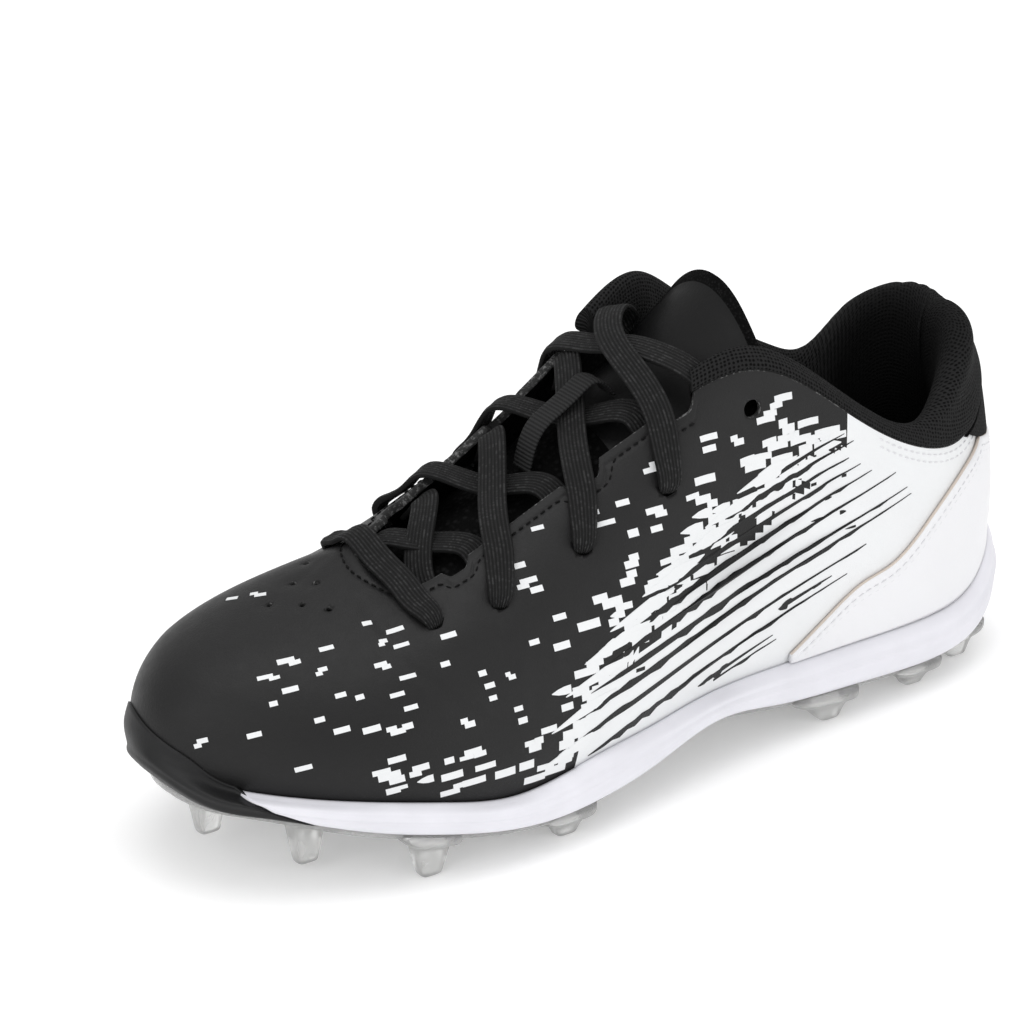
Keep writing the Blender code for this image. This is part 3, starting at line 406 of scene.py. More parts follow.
# Seam of the toe guard on the upper. arc round the toe of BALL_WIDTH, z of SOLE_STACK.
GUARD_SEAM = (
    # arc, z
    (-0.30, 1.300),
    (-0.236, 1.370),
    (-0.186, 1.490),
    (-0.142, 1.610),
    (-0.090, 1.700),
    (-0.046, 1.760),
    (0.000, 1.810),
    (0.070, 1.860),
    (0.140, 1.840),
    (0.220, 1.700),
    (0.300, 1.480),
    (0.380, 1.300),
)

# From the heel frame to the middle of the shoe's box.
SHIFT = np.array([0.12025, -0.00101, 0.0])
PERIMETER = OUTLINE_STEPS.sum()


def unit(v):
    """Vectors at length one."""
    v = np.asarray(v, float)
    return v / np.maximum(np.linalg.norm(v, axis=-1, keepdims=True), 1e-12)


FINE = np.linspace(0.0, 1.0, 4001)
FINE_X = outline(FINE)[0][:, 0]
TOE_INDEX = int(np.argmax(FINE_X))
S_TOE = FINE[TOE_INDEX]
EDGE_X = RIB_TRACK(FINE)[:, 2]
IN_OUTER = (FINE > RIB_KNOTS[3]) & (FINE < RIB_KNOTS[9])
IN_INNER = (FINE > RIB_KNOTS[9]) & (FINE < RIB_KNOTS[17])


def outer_station(x):
    """Station of the outer side at x."""
    return np.interp(x, FINE_X[:TOE_INDEX + 1], FINE[:TOE_INDEX + 1])


def inner_station(x):
    """Station of the inner side at x."""
    return np.interp(x, FINE_X[TOE_INDEX:][::-1], FINE[TOE_INDEX:][::-1])


def throat_station(x, outer):
    """Station whose edge lies at x, in front of the collar."""
    if outer:
        return float(np.interp(x, EDGE_X[IN_OUTER], FINE[IN_OUTER]))
    return float(np.interp(x, EDGE_X[IN_INNER][::-1], FINE[IN_INNER][::-1]))


def notch_depth(s, grow=0.0):
    """Depth of the edge cuts at s."""
    depth = np.zeros(len(s))
    for x, outer, inner in NOTCHES:
        for is_outer, share in ((True, outer), (False, inner)):
            mid = throat_station(x * LENGTH, is_outer)
            reach = np.abs(s - mid) * PERIMETER - grow
            ramp = np.clip((NOTCH_WIDTH * 0.5 - reach) / (NOTCH_WIDTH * 0.3), 0.0, 1.0)
            depth = np.maximum(depth, NOTCH_DEPTH * share * (ramp * ramp * (3.0 - 2.0 * ramp)) ** 0.6)
    return depth


def rib_length(s):
    """Length of each rib."""
    p = skin(np.asarray(s)[:, None], np.linspace(0.0, 1.0, 21)[None, :])
    return np.linalg.norm(np.diff(p, axis=1), axis=2).sum(axis=1)


def edge_share(s):
    """Height share of the upper's edge, lowered at the cuts."""
    return 1.0 - notch_depth(s) / rib_length(s) * 0.85


def height_share(s, z):
    """Height share at which the rib reaches height z."""
    v = np.linspace(0.0, 1.0, 161)
    p = skin(np.asarray(s)[:, None], v[None, :])
    rise = np.maximum.accumulate(p[:, :, 2], axis=1)
    return np.array([np.interp(z[i], rise[i], v) for i in range(len(s))])


# Node trees.
class Number:
    """A number in a material, with ordinary arithmetic."""

    def __init__(self, tree, socket):
        self.tree = tree
        self.socket = socket

    def op(self, kind, *others):
        """One math node on this number and others."""
        node = self.tree.nodes.new("ShaderNodeMath")
        node.operation = kind
        for slot, value in zip(node.inputs, (self,) + others):
            if isinstance(value, Number):
                self.tree.links.new(value.socket, slot)
            else:
                slot.default_value = float(value)
        return Number(self.tree, node.outputs[0])

    def __add__(self, other):
        return self.op("ADD", other)

    def __sub__(self, other):
        return self.op("SUBTRACT", other)

    def __mul__(self, other):
        return self.op("MULTIPLY", other)

    def floor(self):
        return self.op("FLOOR")

    def part(self):
        return self.op("FRACT")

    def size(self):
        return self.op("ABSOLUTE")

    def above(self, other):
        return self.op("GREATER_THAN", other)

    def smooth(self, start, end, first=0.0, last=1.0):
        """Soft step from first to last as the number goes from start to end."""
        node = self.tree.nodes.new("ShaderNodeMapRange")
        node.interpolation_type = "SMOOTHSTEP"
        node.inputs["From Min"].default_value = start
        node.inputs["From Max"].default_value = end
        node.inputs["To Min"].default_value = first
        node.inputs["To Max"].default_value = last
        self.tree.links.new(self.socket, node.inputs["Value"])
        return Number(self.tree, node.outputs["Result"])


class Look:
    """A material under construction."""

    def __init__(self, name, colour, rough, **values):
        self.mat = bpy.data.materials.new(name)
        self.mat.use_nodes = True
        self.tree = self.mat.node_tree
        self.shader = self.tree.nodes["Principled BSDF"]
        self.shader.inputs["Base Color"].default_value = (colour[0], colour[1], colour[2], 1.0)
        self.shader.inputs["Roughness"].default_value = rough
        self.mat.diffuse_color = (colour[0], colour[1], colour[2], 1.0)
        for key, value in values.items():
            self.shader.inputs[key.replace("_", " ")].default_value = value

    def place(self):
        """Object coordinates."""
        node = self.tree.nodes.new("ShaderNodeTexCoord")
        return node.outputs["Object"]

    def chart(self):
        """Chart coordinates laid on the mesh."""
        node = self.tree.nodes.new("ShaderNodeTexCoord")
        parts = self.tree.nodes.new("ShaderNodeSeparateXYZ")
        self.tree.links.new(node.outputs["UV"], parts.inputs[0])
        return [Number(self.tree, parts.outputs[i]) for i in range(2)]

    def join(self, x, y, z=0.0):
        """Vector of three numbers."""
        node = self.tree.nodes.new("ShaderNodeCombineXYZ")
        for slot, value in zip(node.inputs, (x, y, z)):
            if isinstance(value, Number):
                self.tree.links.new(value.socket, slot)
            else:
                slot.default_value = float(value)
        return node.outputs[0]

    def random(self, x, y, seed):
        """A random number for each whole x and y."""
        node = self.tree.nodes.new("ShaderNodeTexWhiteNoise")
        node.noise_dimensions = "3D"
        self.tree.links.new(self.join(x, y, seed), node.inputs["Vector"])
        return Number(self.tree, node.outputs["Value"])

    def noise(self, scale, detail=2.0, rough=0.5):
        """Cloudy noise, scale in cells a metre."""
        node = self.tree.nodes.new("ShaderNodeTexNoise")
        node.inputs["Scale"].default_value = scale
        node.inputs["Detail"].default_value = detail
        node.inputs["Roughness"].default_value = rough
        self.tree.links.new(self.place(), node.inputs["Vector"])
        return Number(self.tree, node.outputs[0])

    def cells(self, scale, vector=None, feature="F1", jitter=1.0):
        """Distance in a pattern of cells."""
        node = self.tree.nodes.new("ShaderNodeTexVoronoi")
        node.feature = feature
        node.inputs["Scale"].default_value = scale
        node.inputs["Randomness"].default_value = jitter
        self.tree.links.new(vector or self.place(), node.inputs["Vector"])
        return Number(self.tree, node.outputs["Distance"])

    def mix(self, share, one, two):
        """Colour between two, each a tuple or the output of another mix."""
        node = self.tree.nodes.new("ShaderNodeMix")
        node.data_type = "RGBA"
        self.tree.links.new(share.socket, node.inputs["Factor"])
        for slot, value in zip([i for i in node.inputs if i.type == "RGBA"], (one, two)):
            if isinstance(value, tuple):
                slot.default_value = (value[0], value[1], value[2], 1.0)
            else:
                self.tree.links.new(value, slot)
        return [o for o in node.outputs if o.type == "RGBA"][0]

    def colour(self, socket):
        """Colour of the surface."""
        self.tree.links.new(socket, self.shader.inputs["Base Color"])

    def rough(self, number):
        """Roughness of the surface."""
        self.tree.links.new(number.socket, self.shader.inputs["Roughness"])

    def bump(self, height, distance):
        """Height from 0 to 1 over distance in metres. A later call lies on the earlier one."""
        node = self.tree.nodes.new("ShaderNodeBump")
        node.inputs["Distance"].default_value = distance
        self.tree.links.new(height.socket, node.inputs["Height"])
        normal = self.shader.inputs["Normal"]
        if normal.is_linked:
            self.tree.links.new(normal.links[0].from_socket, node.inputs["Normal"])
        self.tree.links.new(node.outputs[0], normal)


def synthetic_grain(look, depth=1.0):
    """Fine leather-like grain of coated synthetic."""
    look.bump(look.noise(1400.0, 3.0, 0.55), 0.00006 * depth)
    look.bump(look.cells(2300.0, feature="DISTANCE_TO_EDGE").smooth(0.0, 0.25), 0.00002 * depth)


def make_skin(name, low, high, rough):
    """Coated synthetic of the upper, black or printed white."""
    look = Look(name, low, rough, Specular_IOR_Level=0.28)
    look.colour(look.mix(look.noise(60.0, 3.0), low, high))
    look.rough(look.noise(300.0, 3.0) * 0.16 + (rough - 0.08))
    synthetic_grain(look)
    return look.mat


def make_edge():
    """Cut edge of the upper, dark with pale fray."""
    look = Look("raw_edge", (0.12, 0.12, 0.12), 0.8)
    fray = look.noise(900.0, 4.0, 0.7)
    look.colour(look.mix(fray.smooth(0.48, 0.68), (0.011, 0.011, 0.011), (0.17, 0.17, 0.17)))
    look.bump(fray, 0.0002)
    return look.mat


def make_black_cloth(name, scale, depth, tone):
    """Knit or mesh lining in black."""
    look = Look(name, (0.006, 0.006, 0.006), 0.95, Specular_IOR_Level=0.10)
    knit = look.cells(scale, jitter=0.75)
    fuzz = look.noise(scale * 2.6, 3.0, 0.7)
    height = knit.smooth(0.0, 0.75, 1.0, 0.0) * 0.7 + fuzz * 0.5
    look.colour(look.mix(height.smooth(0.35, 1.20), (0.002 * tone, 0.002 * tone, 0.002 * tone),
                         (0.013 * tone, 0.013 * tone, 0.0132 * tone)))
    look.bump(height, depth)
    return look.mat


def make_spacer_knit():
    """Padded knit of the collar: rows of small dark pits, fine ripples, a little lint. Its colour is lighter
    on the knit's raised points as painted highlight and darkens deeper inside the collar as painted shade.
    """
    look = Look("collar_knit", (0.006, 0.006, 0.006), 0.95, Specular_IOR_Level=0.12)
    along, around = look.chart()
    pits = look.cells(1.0, look.join(along * 1050.0, around * 1050.0), jitter=0.22)
    ripple = (around * 900.0 + look.noise(55.0, 2.0) * 3.0).part().smooth(0.0, 1.0)
    fuzz = look.noise(3000.0, 3.0, 0.7)
    height = pits.smooth(0.12, 0.48) * 0.8 + fuzz * 0.35 + ripple * 0.12
    # Painted light: the knit is lighter on its raised points as painted highlight, and fades dark further
    # round the section, inside the collar, as painted shade where light does not reach.
    painted_light_share = height.smooth(0.25, 1.15) * around.smooth(0.016, 0.040, 1.0, 0.12)
    look.colour(look.mix(painted_light_share, (0.0010, 0.0010, 0.0010), (0.0190, 0.0190, 0.0192)))
    look.bump(height, 0.00030)
    return look.mat


def make_white_panel():
    """Glossy white synthetic of the heel counter."""
    look = Look("white_synthetic", (0.78, 0.78, 0.80), 0.3, Specular_IOR_Level=0.4)
    cloud = look.noise(45.0, 3.0)
    look.colour(look.mix(cloud, (0.76, 0.76, 0.78), (0.81, 0.81, 0.83)))
    look.rough(look.noise(400.0, 3.0) * 0.14 + 0.26)
    synthetic_grain(look, 0.8)
    return look.mat


def make_plain(name, colour, rough, grain, depth, **values):
    """One tone with faint clouds and a fine grain."""
    look = Look(name, colour, rough, **values)
    dark = tuple(c * 0.86 for c in colour)
    look.colour(look.mix(look.noise(70.0, 3.0), dark, tuple(min(1.0, c * 1.06) for c in colour)))
    look.rough(look.noise(500.0, 3.0) * 0.12 + (rough - 0.06))
    look.bump(look.noise(grain, 3.0, 0.6), depth)
    return look.mat


def make_lace():
    """Flat woven lace: lengthwise cords, each with a fine braid, lighter flecks on some."""
    look = Look("black_lace", (0.010, 0.010, 0.010), 0.8, Specular_IOR_Level=0.3)
    across, along = look.chart()
    lanes = across * 8.0
    lane = lanes.floor()
    cord = (lanes.part() - 0.5).size() * -2.0 + 1.0
    beat = along * 1900.0 + look.noise(700.0, 3.0) * 2.2 + lane * 0.37
    knot = (beat.part() - 0.5).size() * -2.0 + 1.0
    fleck = look.random(beat.floor(), lane, 5.0)
    height = cord.smooth(0.0, 0.8) * 0.8 + knot * 0.3 * cord
    shade = height.smooth(0.15, 1.05)
    dark = look.mix(shade, (0.0015, 0.0015, 0.0015), (0.011, 0.011, 0.0113))
    light = look.mix(shade, (0.002, 0.002, 0.002), (0.036, 0.036, 0.0365))
    wear = look.noise(420.0, 3.0, 0.6).smooth(0.35, 0.70, 0.15, 1.0)
    look.colour(look.mix(fleck.above(0.66) * wear, dark, light))
    look.bump(height, 0.00028)
    look.bump(look.noise(5200.0, 2.0), 0.00006)
    return look.mat


def make_webbing():
    """Ribbed webbing, ribs across."""
    look = Look("black_webbing", (0.010, 0.010, 0.010), 0.8, Specular_IOR_Level=0.3)
    _, along = look.chart()
    rib = ((along * 1100.0).part() - 0.5).size() * -2.0 + 1.0
    look.colour(look.mix(rib.smooth(0.0, 0.8), (0.003, 0.003, 0.003), (0.018, 0.018, 0.0185)))
    look.bump(rib.smooth(0.0, 0.9), 0.00022)
    look.bump(look.noise(4200.0, 2.0), 0.00004)
    return look.mat


def make_clear():
    """Clear moulded plastic of the plate and the studs."""
    look = Look("clear_stud", (0.90, 0.90, 0.89), 0.22, IOR=1.49, Transmission_Weight=0.72,
                Coat_Weight=0.2, Coat_Roughness=0.1)
    look.colour(look.mix(look.noise(160.0, 3.0), (0.80, 0.80, 0.79), (0.95, 0.95, 0.94)))
    look.bump(look.noise(420.0, 2.0), 0.00012)
    return look.mat


SKIN = make_skin("black_synthetic", (0.0065, 0.0064, 0.0066), (0.0105, 0.0103, 0.0106), 0.46)
PRINT = make_skin("white_print", (0.76, 0.77, 0.78), (0.82, 0.83, 0.84), 0.40)
EDGE = make_edge()
KNIT = make_black_cloth("black_textile", 1300.0, 0.00028, 0.9)
COLLAR_KNIT = make_spacer_knit()
LINING = make_black_cloth("black_lining", 800.0, 0.00016, 0.8)
MESH = make_black_cloth("tongue_mesh", 620.0, 0.00026, 1.1)
WHITE = make_white_panel()
BEIGE = make_plain("cut_edge", (0.66, 0.58, 0.51), 0.7, 1500.0, 0.00005)
FOAM = make_plain("white_foam", (0.775, 0.77, 0.82), 0.5, 2600.0, 0.00003)
RUBBER = make_plain("black_rubber", (0.008, 0.008, 0.0085), 0.5, 2400.0, 0.00006, Specular_IOR_Level=0.3)
TONGUE_FACE = make_plain("black_tongue", (0.0060, 0.0060, 0.0062), 0.50, 1400.0, 0.00007,
                         Specular_IOR_Level=0.20)
LACE = make_lace()
WEBBING = make_webbing()
CLEAR = make_clear()
THREAD = make_plain("black_thread", (0.0035, 0.0035, 0.0035), 0.8, 6000.0, 0.00003,
                    Specular_IOR_Level=0.2)
WHITE_THREAD = make_plain("white_thread", (0.74, 0.74, 0.76), 0.6, 6000.0, 0.00003)


# Meshes. Each finished one is listed here with the node it stands for and its slot.
finished = []


def body(name, verts, faces, mats, slots=None, chart=None, node=None, slot=None, smooth=True):
    """Mesh object from points in the heel frame, faces turned outward."""
    mesh = bpy.data.meshes.new(name)
    mesh.from_pydata((np.asarray(verts, float) - SHIFT).tolist(), [], [tuple(f) for f in faces])
    for mat in mats:
        mesh.materials.append(mat)
    if slots is not None:
        mesh.polygons.foreach_set("material_index", np.asarray(slots, dtype=np.int32))
    if chart is not None:
        layer = mesh.uv_layers.new(name="chart")
        loops = np.empty(len(mesh.loops), dtype=np.int32)
        mesh.loops.foreach_get("vertex_index", loops)
        layer.data.foreach_set("uv", np.asarray(chart, np.float32)[loops].ravel())
    bm = bmesh.new()
    bm.from_mesh(mesh)
    bmesh.ops.recalc_face_normals(bm, faces=bm.faces)
    if bm.calc_volume(signed=True) < 0.0:
        bmesh.ops.reverse_faces(bm, faces=bm.faces)
    bm.to_mesh(mesh)
    bm.free()
    mesh.polygons.foreach_set("use_smooth", [smooth] * len(mesh.polygons))
    mesh.update()
    obj = bpy.data.objects.new(name, mesh)
    bpy.context.scene.collection.objects.link(obj)
    finished.append((obj, node, slot))
    return obj


def sheet_faces(nu, nv, wrap_u, wrap_v):
    """Faces of a grid of points, row u after row u."""
    i = np.arange(nu if wrap_u else nu - 1)[:, None]
    k = np.arange(nv if wrap_v else nv - 1)[None, :]
    j = (i + 1) % nu
    m = (k + 1) % nv
    quads = np.stack([i * nv + k, j * nv + k, j * nv + m, i * nv + m], axis=-1)
    return quads.reshape(-1, 4).tolist()


def tube(name, grid, mats, slots=None, chart=None, node=None, slot=None):
    """Closed sections along a path, ends closed by a fan."""
    nu, nv = grid.shape[:2]
    verts = np.vstack([grid.reshape(-1, 3), grid[0].mean(axis=0)[None], grid[-1].mean(axis=0)[None]])
    faces = sheet_faces(nu, nv, False, True)
    first = nu * nv
    for k in range(nv):
        m = (k + 1) % nv
        faces.append((first, m, k))
        faces.append((first + 1, (nu - 1) * nv + k, (nu - 1) * nv + m))
    if slots is not None:
        slots = list(slots) + [slots[0]] * (2 * nv)
    if chart is not None:
        chart = chart.reshape(-1, 2)
        chart = np.vstack([chart, chart[:1], chart[-1:]])
    return body(name, verts, faces, mats, slots, chart, node, slot)


def even_stations(step):
    """Stations closer together at the heel and the toe."""
    turn = np.linspace(0.0, math.pi, int(1.25 * LENGTH / step) + 1)
    share = 0.35 * turn / math.pi + 0.65 * (0.5 - 0.5 * np.cos(turn))
    return FINE_X[0] + (FINE_X[TOE_INDEX] - FINE_X[0]) * share


def slab_stations(x):
    """Stations all round the shoe at the given x, heel first."""
    return np.concatenate([[0.0], outer_station(x[1:-1]), [S_TOE], inner_station(x[1:-1])[::-1]])


def slab(name, grid, mats, node, slot):
    """Ring of open sections closed straight across at both ends of the section."""
    nu, nv = grid.shape[:2]
    faces = sheet_faces(nu, nv, True, False)
    half = nu // 2
    for k in (0, nv - 1):
        for i in range(half):
            ring = (i, i + 1, (nu - i - 1) % nu, (nu - i) % nu)
            face = list(dict.fromkeys(j * nv + k for j in ring))
            if len(face) > 2:
                faces.append(face if k == 0 else face[::-1])
    return body(name, grid.reshape(-1, 3), faces, mats, node=node, slot=slot)


def smooth_rows(rows, count):
    """More rows on smooth curves through the given ones."""
    rows = np.stack(rows, axis=0)
    steps = np.linalg.norm(np.diff(rows, axis=0), axis=2).mean(axis=1)
    knots = np.concatenate([[0.0], np.cumsum(steps)])
    track = Track(rows.reshape(len(rows), -1), knots / knots[-1])
    return track(np.linspace(0.0, 1.0, count)).reshape(count, -1, 3)


def surface_spot(s, v, lift):
    """Point over the upper and the way it faces."""
    p = skin(np.array([s]), np.array([v]))[0]
    n = unit(skin(np.array([s]), np.array([v]), 0.001)[0] - p)
    return p + n * lift, n


def push(points, line, radius, depth):
    """Soft trough, or ridge where depth is negative, along a polyline: shift along the normals."""
    flat = points.reshape(-1, 3)
    best = np.full(len(flat), 1e9)
    share = np.zeros(len(flat))
    steps = len(line) - 1
    for i in range(steps):
        a = line[i]
        d = line[i + 1] - a
        t = np.clip((flat - a) @ d / (d @ d), 0.0, 1.0)
        far = np.linalg.norm(flat - a - t[:, None] * d, axis=1)
        nearer = far < best
        best[nearer] = far[nearer]
        share[nearer] = ((i + t) / steps)[nearer]
    fade = np.sin(np.clip(share, 0.0, 1.0) * math.pi) ** 0.5
    return (depth * fade * np.exp(-(best / radius) ** 2)).reshape(points.shape[:2])


def beads(name, centres, ways, normals, half_length, radius, mat, slot):
    """Stitches: small ellipsoids sunk into a surface."""
    count = 6
    turn = np.linspace(0.0, 2.0 * math.pi, count, endpoint=False)
    ends = np.array([-1.0, -0.55, 0.55, 1.0])
    wide = np.array([0.25, 0.95, 0.95, 0.25])
    verts = []
    faces = []
    for c, t, n in zip(centres, unit(ways), unit(normals)):
        b = unit(np.cross(n, t))
        first = len(verts)
        for e, q in zip(ends, wide):
            sag = -0.25 * radius * abs(e)
            for a in turn:
                verts.append(c + t * e * half_length + b * math.cos(a) * radius * q
                             + n * (math.sin(a) * radius * q + sag))
        last = first + (len(ends) - 1) * count
        for ring in range(first, last, count):
            for k in range(count):
                m = (k + 1) % count
                faces.append((ring + k, ring + m, ring + count + m, ring + count + k))
        faces.append(tuple(first + k for k in reversed(range(count))))
        faces.append(tuple(last + k for k in range(count)))
    return body(name, verts, faces, [mat], slot=slot)


def stitch_row(name, s, v, lift, size, mat, slot):
    """Stitches along a line on the upper's surface. size: pitch, half length and radius."""
    pitch, half_length, radius = size
    p = skin(s, v, lift)
    n = unit(skin(s, v, lift + 0.001) - p)
    length = np.concatenate([[0.0], np.cumsum(np.linalg.norm(np.diff(p, axis=0), axis=1))])
    at = np.arange(pitch * 0.5, length[-1], pitch)
    centre = np.column_stack([np.interp(at, length, p[:, k]) for k in range(3)])
    ahead = np.column_stack([np.interp(at + pitch * 0.2, length, p[:, k]) for k in range(3)])
    behind = np.column_stack([np.interp(at - pitch * 0.2, length, p[:, k]) for k in range(3)])
    normal = np.column_stack([np.interp(at, length, n[:, k]) for k in range(3)])
    return beads(name, centre, ahead - behind, normal, half_length, radius, mat, slot)


# Creases and dents of the upper, as (station, height share) points, with radius and depth in millimetres.
CREASES = (
    # line, radius, depth
    (((0.440, 0.84), (0.400, 0.66), (0.365, 0.48), (0.345, 0.36)), 1.1, 0.28),
    (((0.470, 0.90), (0.430, 0.80), (0.395, 0.72)), 1.6, 0.30),
    (((0.540, 0.92), (0.520, 0.84), (0.500, 0.80)), 1.3, 0.22),
    (((0.385, 0.60), (0.345, 0.58), (0.315, 0.50)), 5.0, 0.45),
    (((0.330, 0.42), (0.300, 0.34), (0.275, 0.22)), 6.0, 0.55),
    (((0.250, 0.62), (0.225, 0.50), (0.205, 0.34)), 6.0, 0.40),
    (((0.175, 0.92), (0.160, 0.78), (0.150, 0.62)), 5.0, 0.45),
    (((0.640, 0.62), (0.675, 0.56), (0.700, 0.44)), 5.5, 0.50),
    (((0.700, 0.46), (0.730, 0.34), (0.750, 0.22)), 6.0, 0.50),
    (((0.610, 0.84), (0.640, 0.70), (0.660, 0.58)), 2.0, 0.30),
    (((0.820, 0.92), (0.840, 0.78), (0.850, 0.60)), 5.0, 0.40),
)

# Vent holes at the toe, and in a row under the inner eyelets, as station and height share.
TOE_HOLES = ((0.542, 0.84), (0.518, 0.80), (0.507, 0.86), (0.508, 0.71), (0.496, 0.78), (0.481, 0.81))
SIDE_HOLES = ((0.655, 0.60), (0.690, 0.62), (0.725, 0.66), (0.758, 0.70))


def eyelets():
    """Centre, outward direction, station and height share of each eyelet, outer side then inner side."""
    spots = []
    for outer in (True, False):
        for row in EYELETS:
            s = np.array([throat_station(row[0] * LENGTH, outer)])
            v = 1.0 - row[1 if outer else 2] * BALL_WIDTH / rib_length(s)
            c = skin(s, v)[0]
            n = unit(skin(s, v, 0.001)[0] - c)
            spots.append((c, n, s[0], v[0]))
    return spots


EYES = eyelets()


def upper_stations():
    """Even stations, closer at the edge cuts."""
    s = np.arange(0.0, 1.0, 1.0 / 620.0)
    extra = []
    reach = NOTCH_WIDTH * 0.62 / PERIMETER
    for x, _, _ in NOTCHES:
        for is_outer in (True, False):
            mid = throat_station(x * LENGTH, is_outer)
            s = s[np.abs(s - mid) > reach]
            extra.append(np.linspace(mid - reach, mid + reach, 44))
    return np.sort(np.concatenate([s] + extra))


def cutter_pins(spots):
    """Pins of one mesh that cut the holes. spots: centre, direction, radius, half length."""
    verts = []
    faces = []
    for c, n, radius, half in spots:
        a = unit(np.cross(n, (0.3, 0.2, 0.93)))
        b = np.cross(n, a)
        first = len(verts)
        count = 20
        for end in (-half, half):
            for k in range(count):
                q = 2.0 * math.pi * k / count
                verts.append(c + n * end + (a * math.cos(q) + b * math.sin(q)) * radius)
        for k in range(count):
            m = (k + 1) % count
            faces.append((first + k, first + m, first + count + m, first + count + k))
        faces.append(tuple(first + k for k in reversed(range(count))))
        faces.append(tuple(first + count + k for k in range(count)))
    return verts, faces


def toe_bulge(s, v):
    """Extra fullness of the toe box."""
    v = np.asarray(v)
    wide = np.exp(-((np.asarray(s) - 0.522) / 0.044) ** 2)
    tall = np.clip((0.92 - v) / 0.55, 0.0, 1.0) ** 1.2 * np.clip((v + 0.02) / 0.10, 0.0, 1.0)
    return TOE_FULLNESS * wide * tall


def crease_drop(p):
    """How far creases and the eyelets' pull lower the upper's face at points of it."""
    drop = np.zeros(p.shape[:2])
    for line, radius, depth in CREASES:
        points = skin(np.array([a for a, b in line]), np.array([b for a, b in line]))
        drop += push(p, Track(points)(np.linspace(0.0, 1.0, 12)), radius * 0.001, depth * 0.001)
    for c, _, _, _ in EYES:
        far = np.linalg.norm(p - c, axis=2)
        drop += 0.00040 * np.exp(-(far / 0.0042) ** 2)
    for a, b in TOE_HOLES:
        far = np.linalg.norm(p - skin(np.array([a]), np.array([b]))[0], axis=2)
        drop += 0.00035 * np.exp(-(far / 0.0017) ** 2)
    return drop


def upper_face(s, v, lift):
    """Outer face with its creases, for grids of s and v."""
    return skin(s, v, lift + toe_bulge(s, v) - crease_drop(skin(s, v)))


# The print is laid out in millimetres from the heel and in height across this slant.
PRINT_SLANT = np.array([0.0, -0.4226, 0.9063])

# Blocks at the edge of the print's white ground, millimetres along and up.
BLOCK_LENGTH = 5.2
BLOCK_HEIGHT = 2.6

# Upper edge of the print's white ground on the outer side.
GROUND = (
    # x, slant height
    (40.0, 68.0),
    (60.0, 62.0),
    (70.0, 58.5),
    (84.0, 52.0),
    (98.0, 43.5),
    (112.0, 35.5),
    (122.0, 31.5),
    (135.0, 25.0),
    (144.0, 18.0),
    (149.0, 11.0),
    (153.0, 3.0),
    (156.0, -10.0),
)


def print_line(x, w):
    """Millimetres above the edge of the print's white ground, negative inside it."""
    rows = np.array(GROUND)
    return w - np.interp(x, rows[:, 0], rows[:, 1])


def white_ground(p):
    """Where the outer side's print has a white ground, its edge in small blocks."""
    rng = np.random.default_rng(5)
    table = rng.random((200, 200))
    x = p[..., 0] * 1000.0
    w = (p @ PRINT_SLANT) * 1000.0
    ragged = table[(x / BLOCK_LENGTH).astype(int) % 200, (w / BLOCK_HEIGHT).astype(int) % 200]
    return (print_line(x, w) + (ragged - 0.5) * 12.0 < -1.0) & (p[..., 1] > 0.004)


def edge_groove(s):
    """1 along the throat, where stitches draw the edge down, 0 elsewhere."""
    index = np.interp(np.mod(s, 1.0), RIB_KNOTS, np.arange(len(RIB_KNOTS)))
    return np.clip((index - 4.6) / 0.2, 0.0, 1.0) * np.clip((len(RIBS) - 4.6 - index) / 0.2, 0.0, 1.0)


# Rows of points close to the upper's edge, metres under it, and rows over its rounded rim. Then half the
# length of the pins that cut the holes, the vent holes' radius, and how far prints keep off an eyelet.
EDGE_ROWS = (0.0046, 0.0040, 0.0035, 0.0031, 0.0027, 0.0023, 0.0019, 0.0014, 0.0009, 0.0004, 0.0)
RIM_ROWS = (
    # inward, rise
    (0.0001, 0.00025),
    (0.0005, 0.00040),
    (0.0010, 0.00045),
    (0.0015, 0.00040),
    (0.0019, 0.00025),
)
PIN_REACH = 0.0045
VENT_RADIUS = 0.0008
EYELET_CLEAR = 0.0042


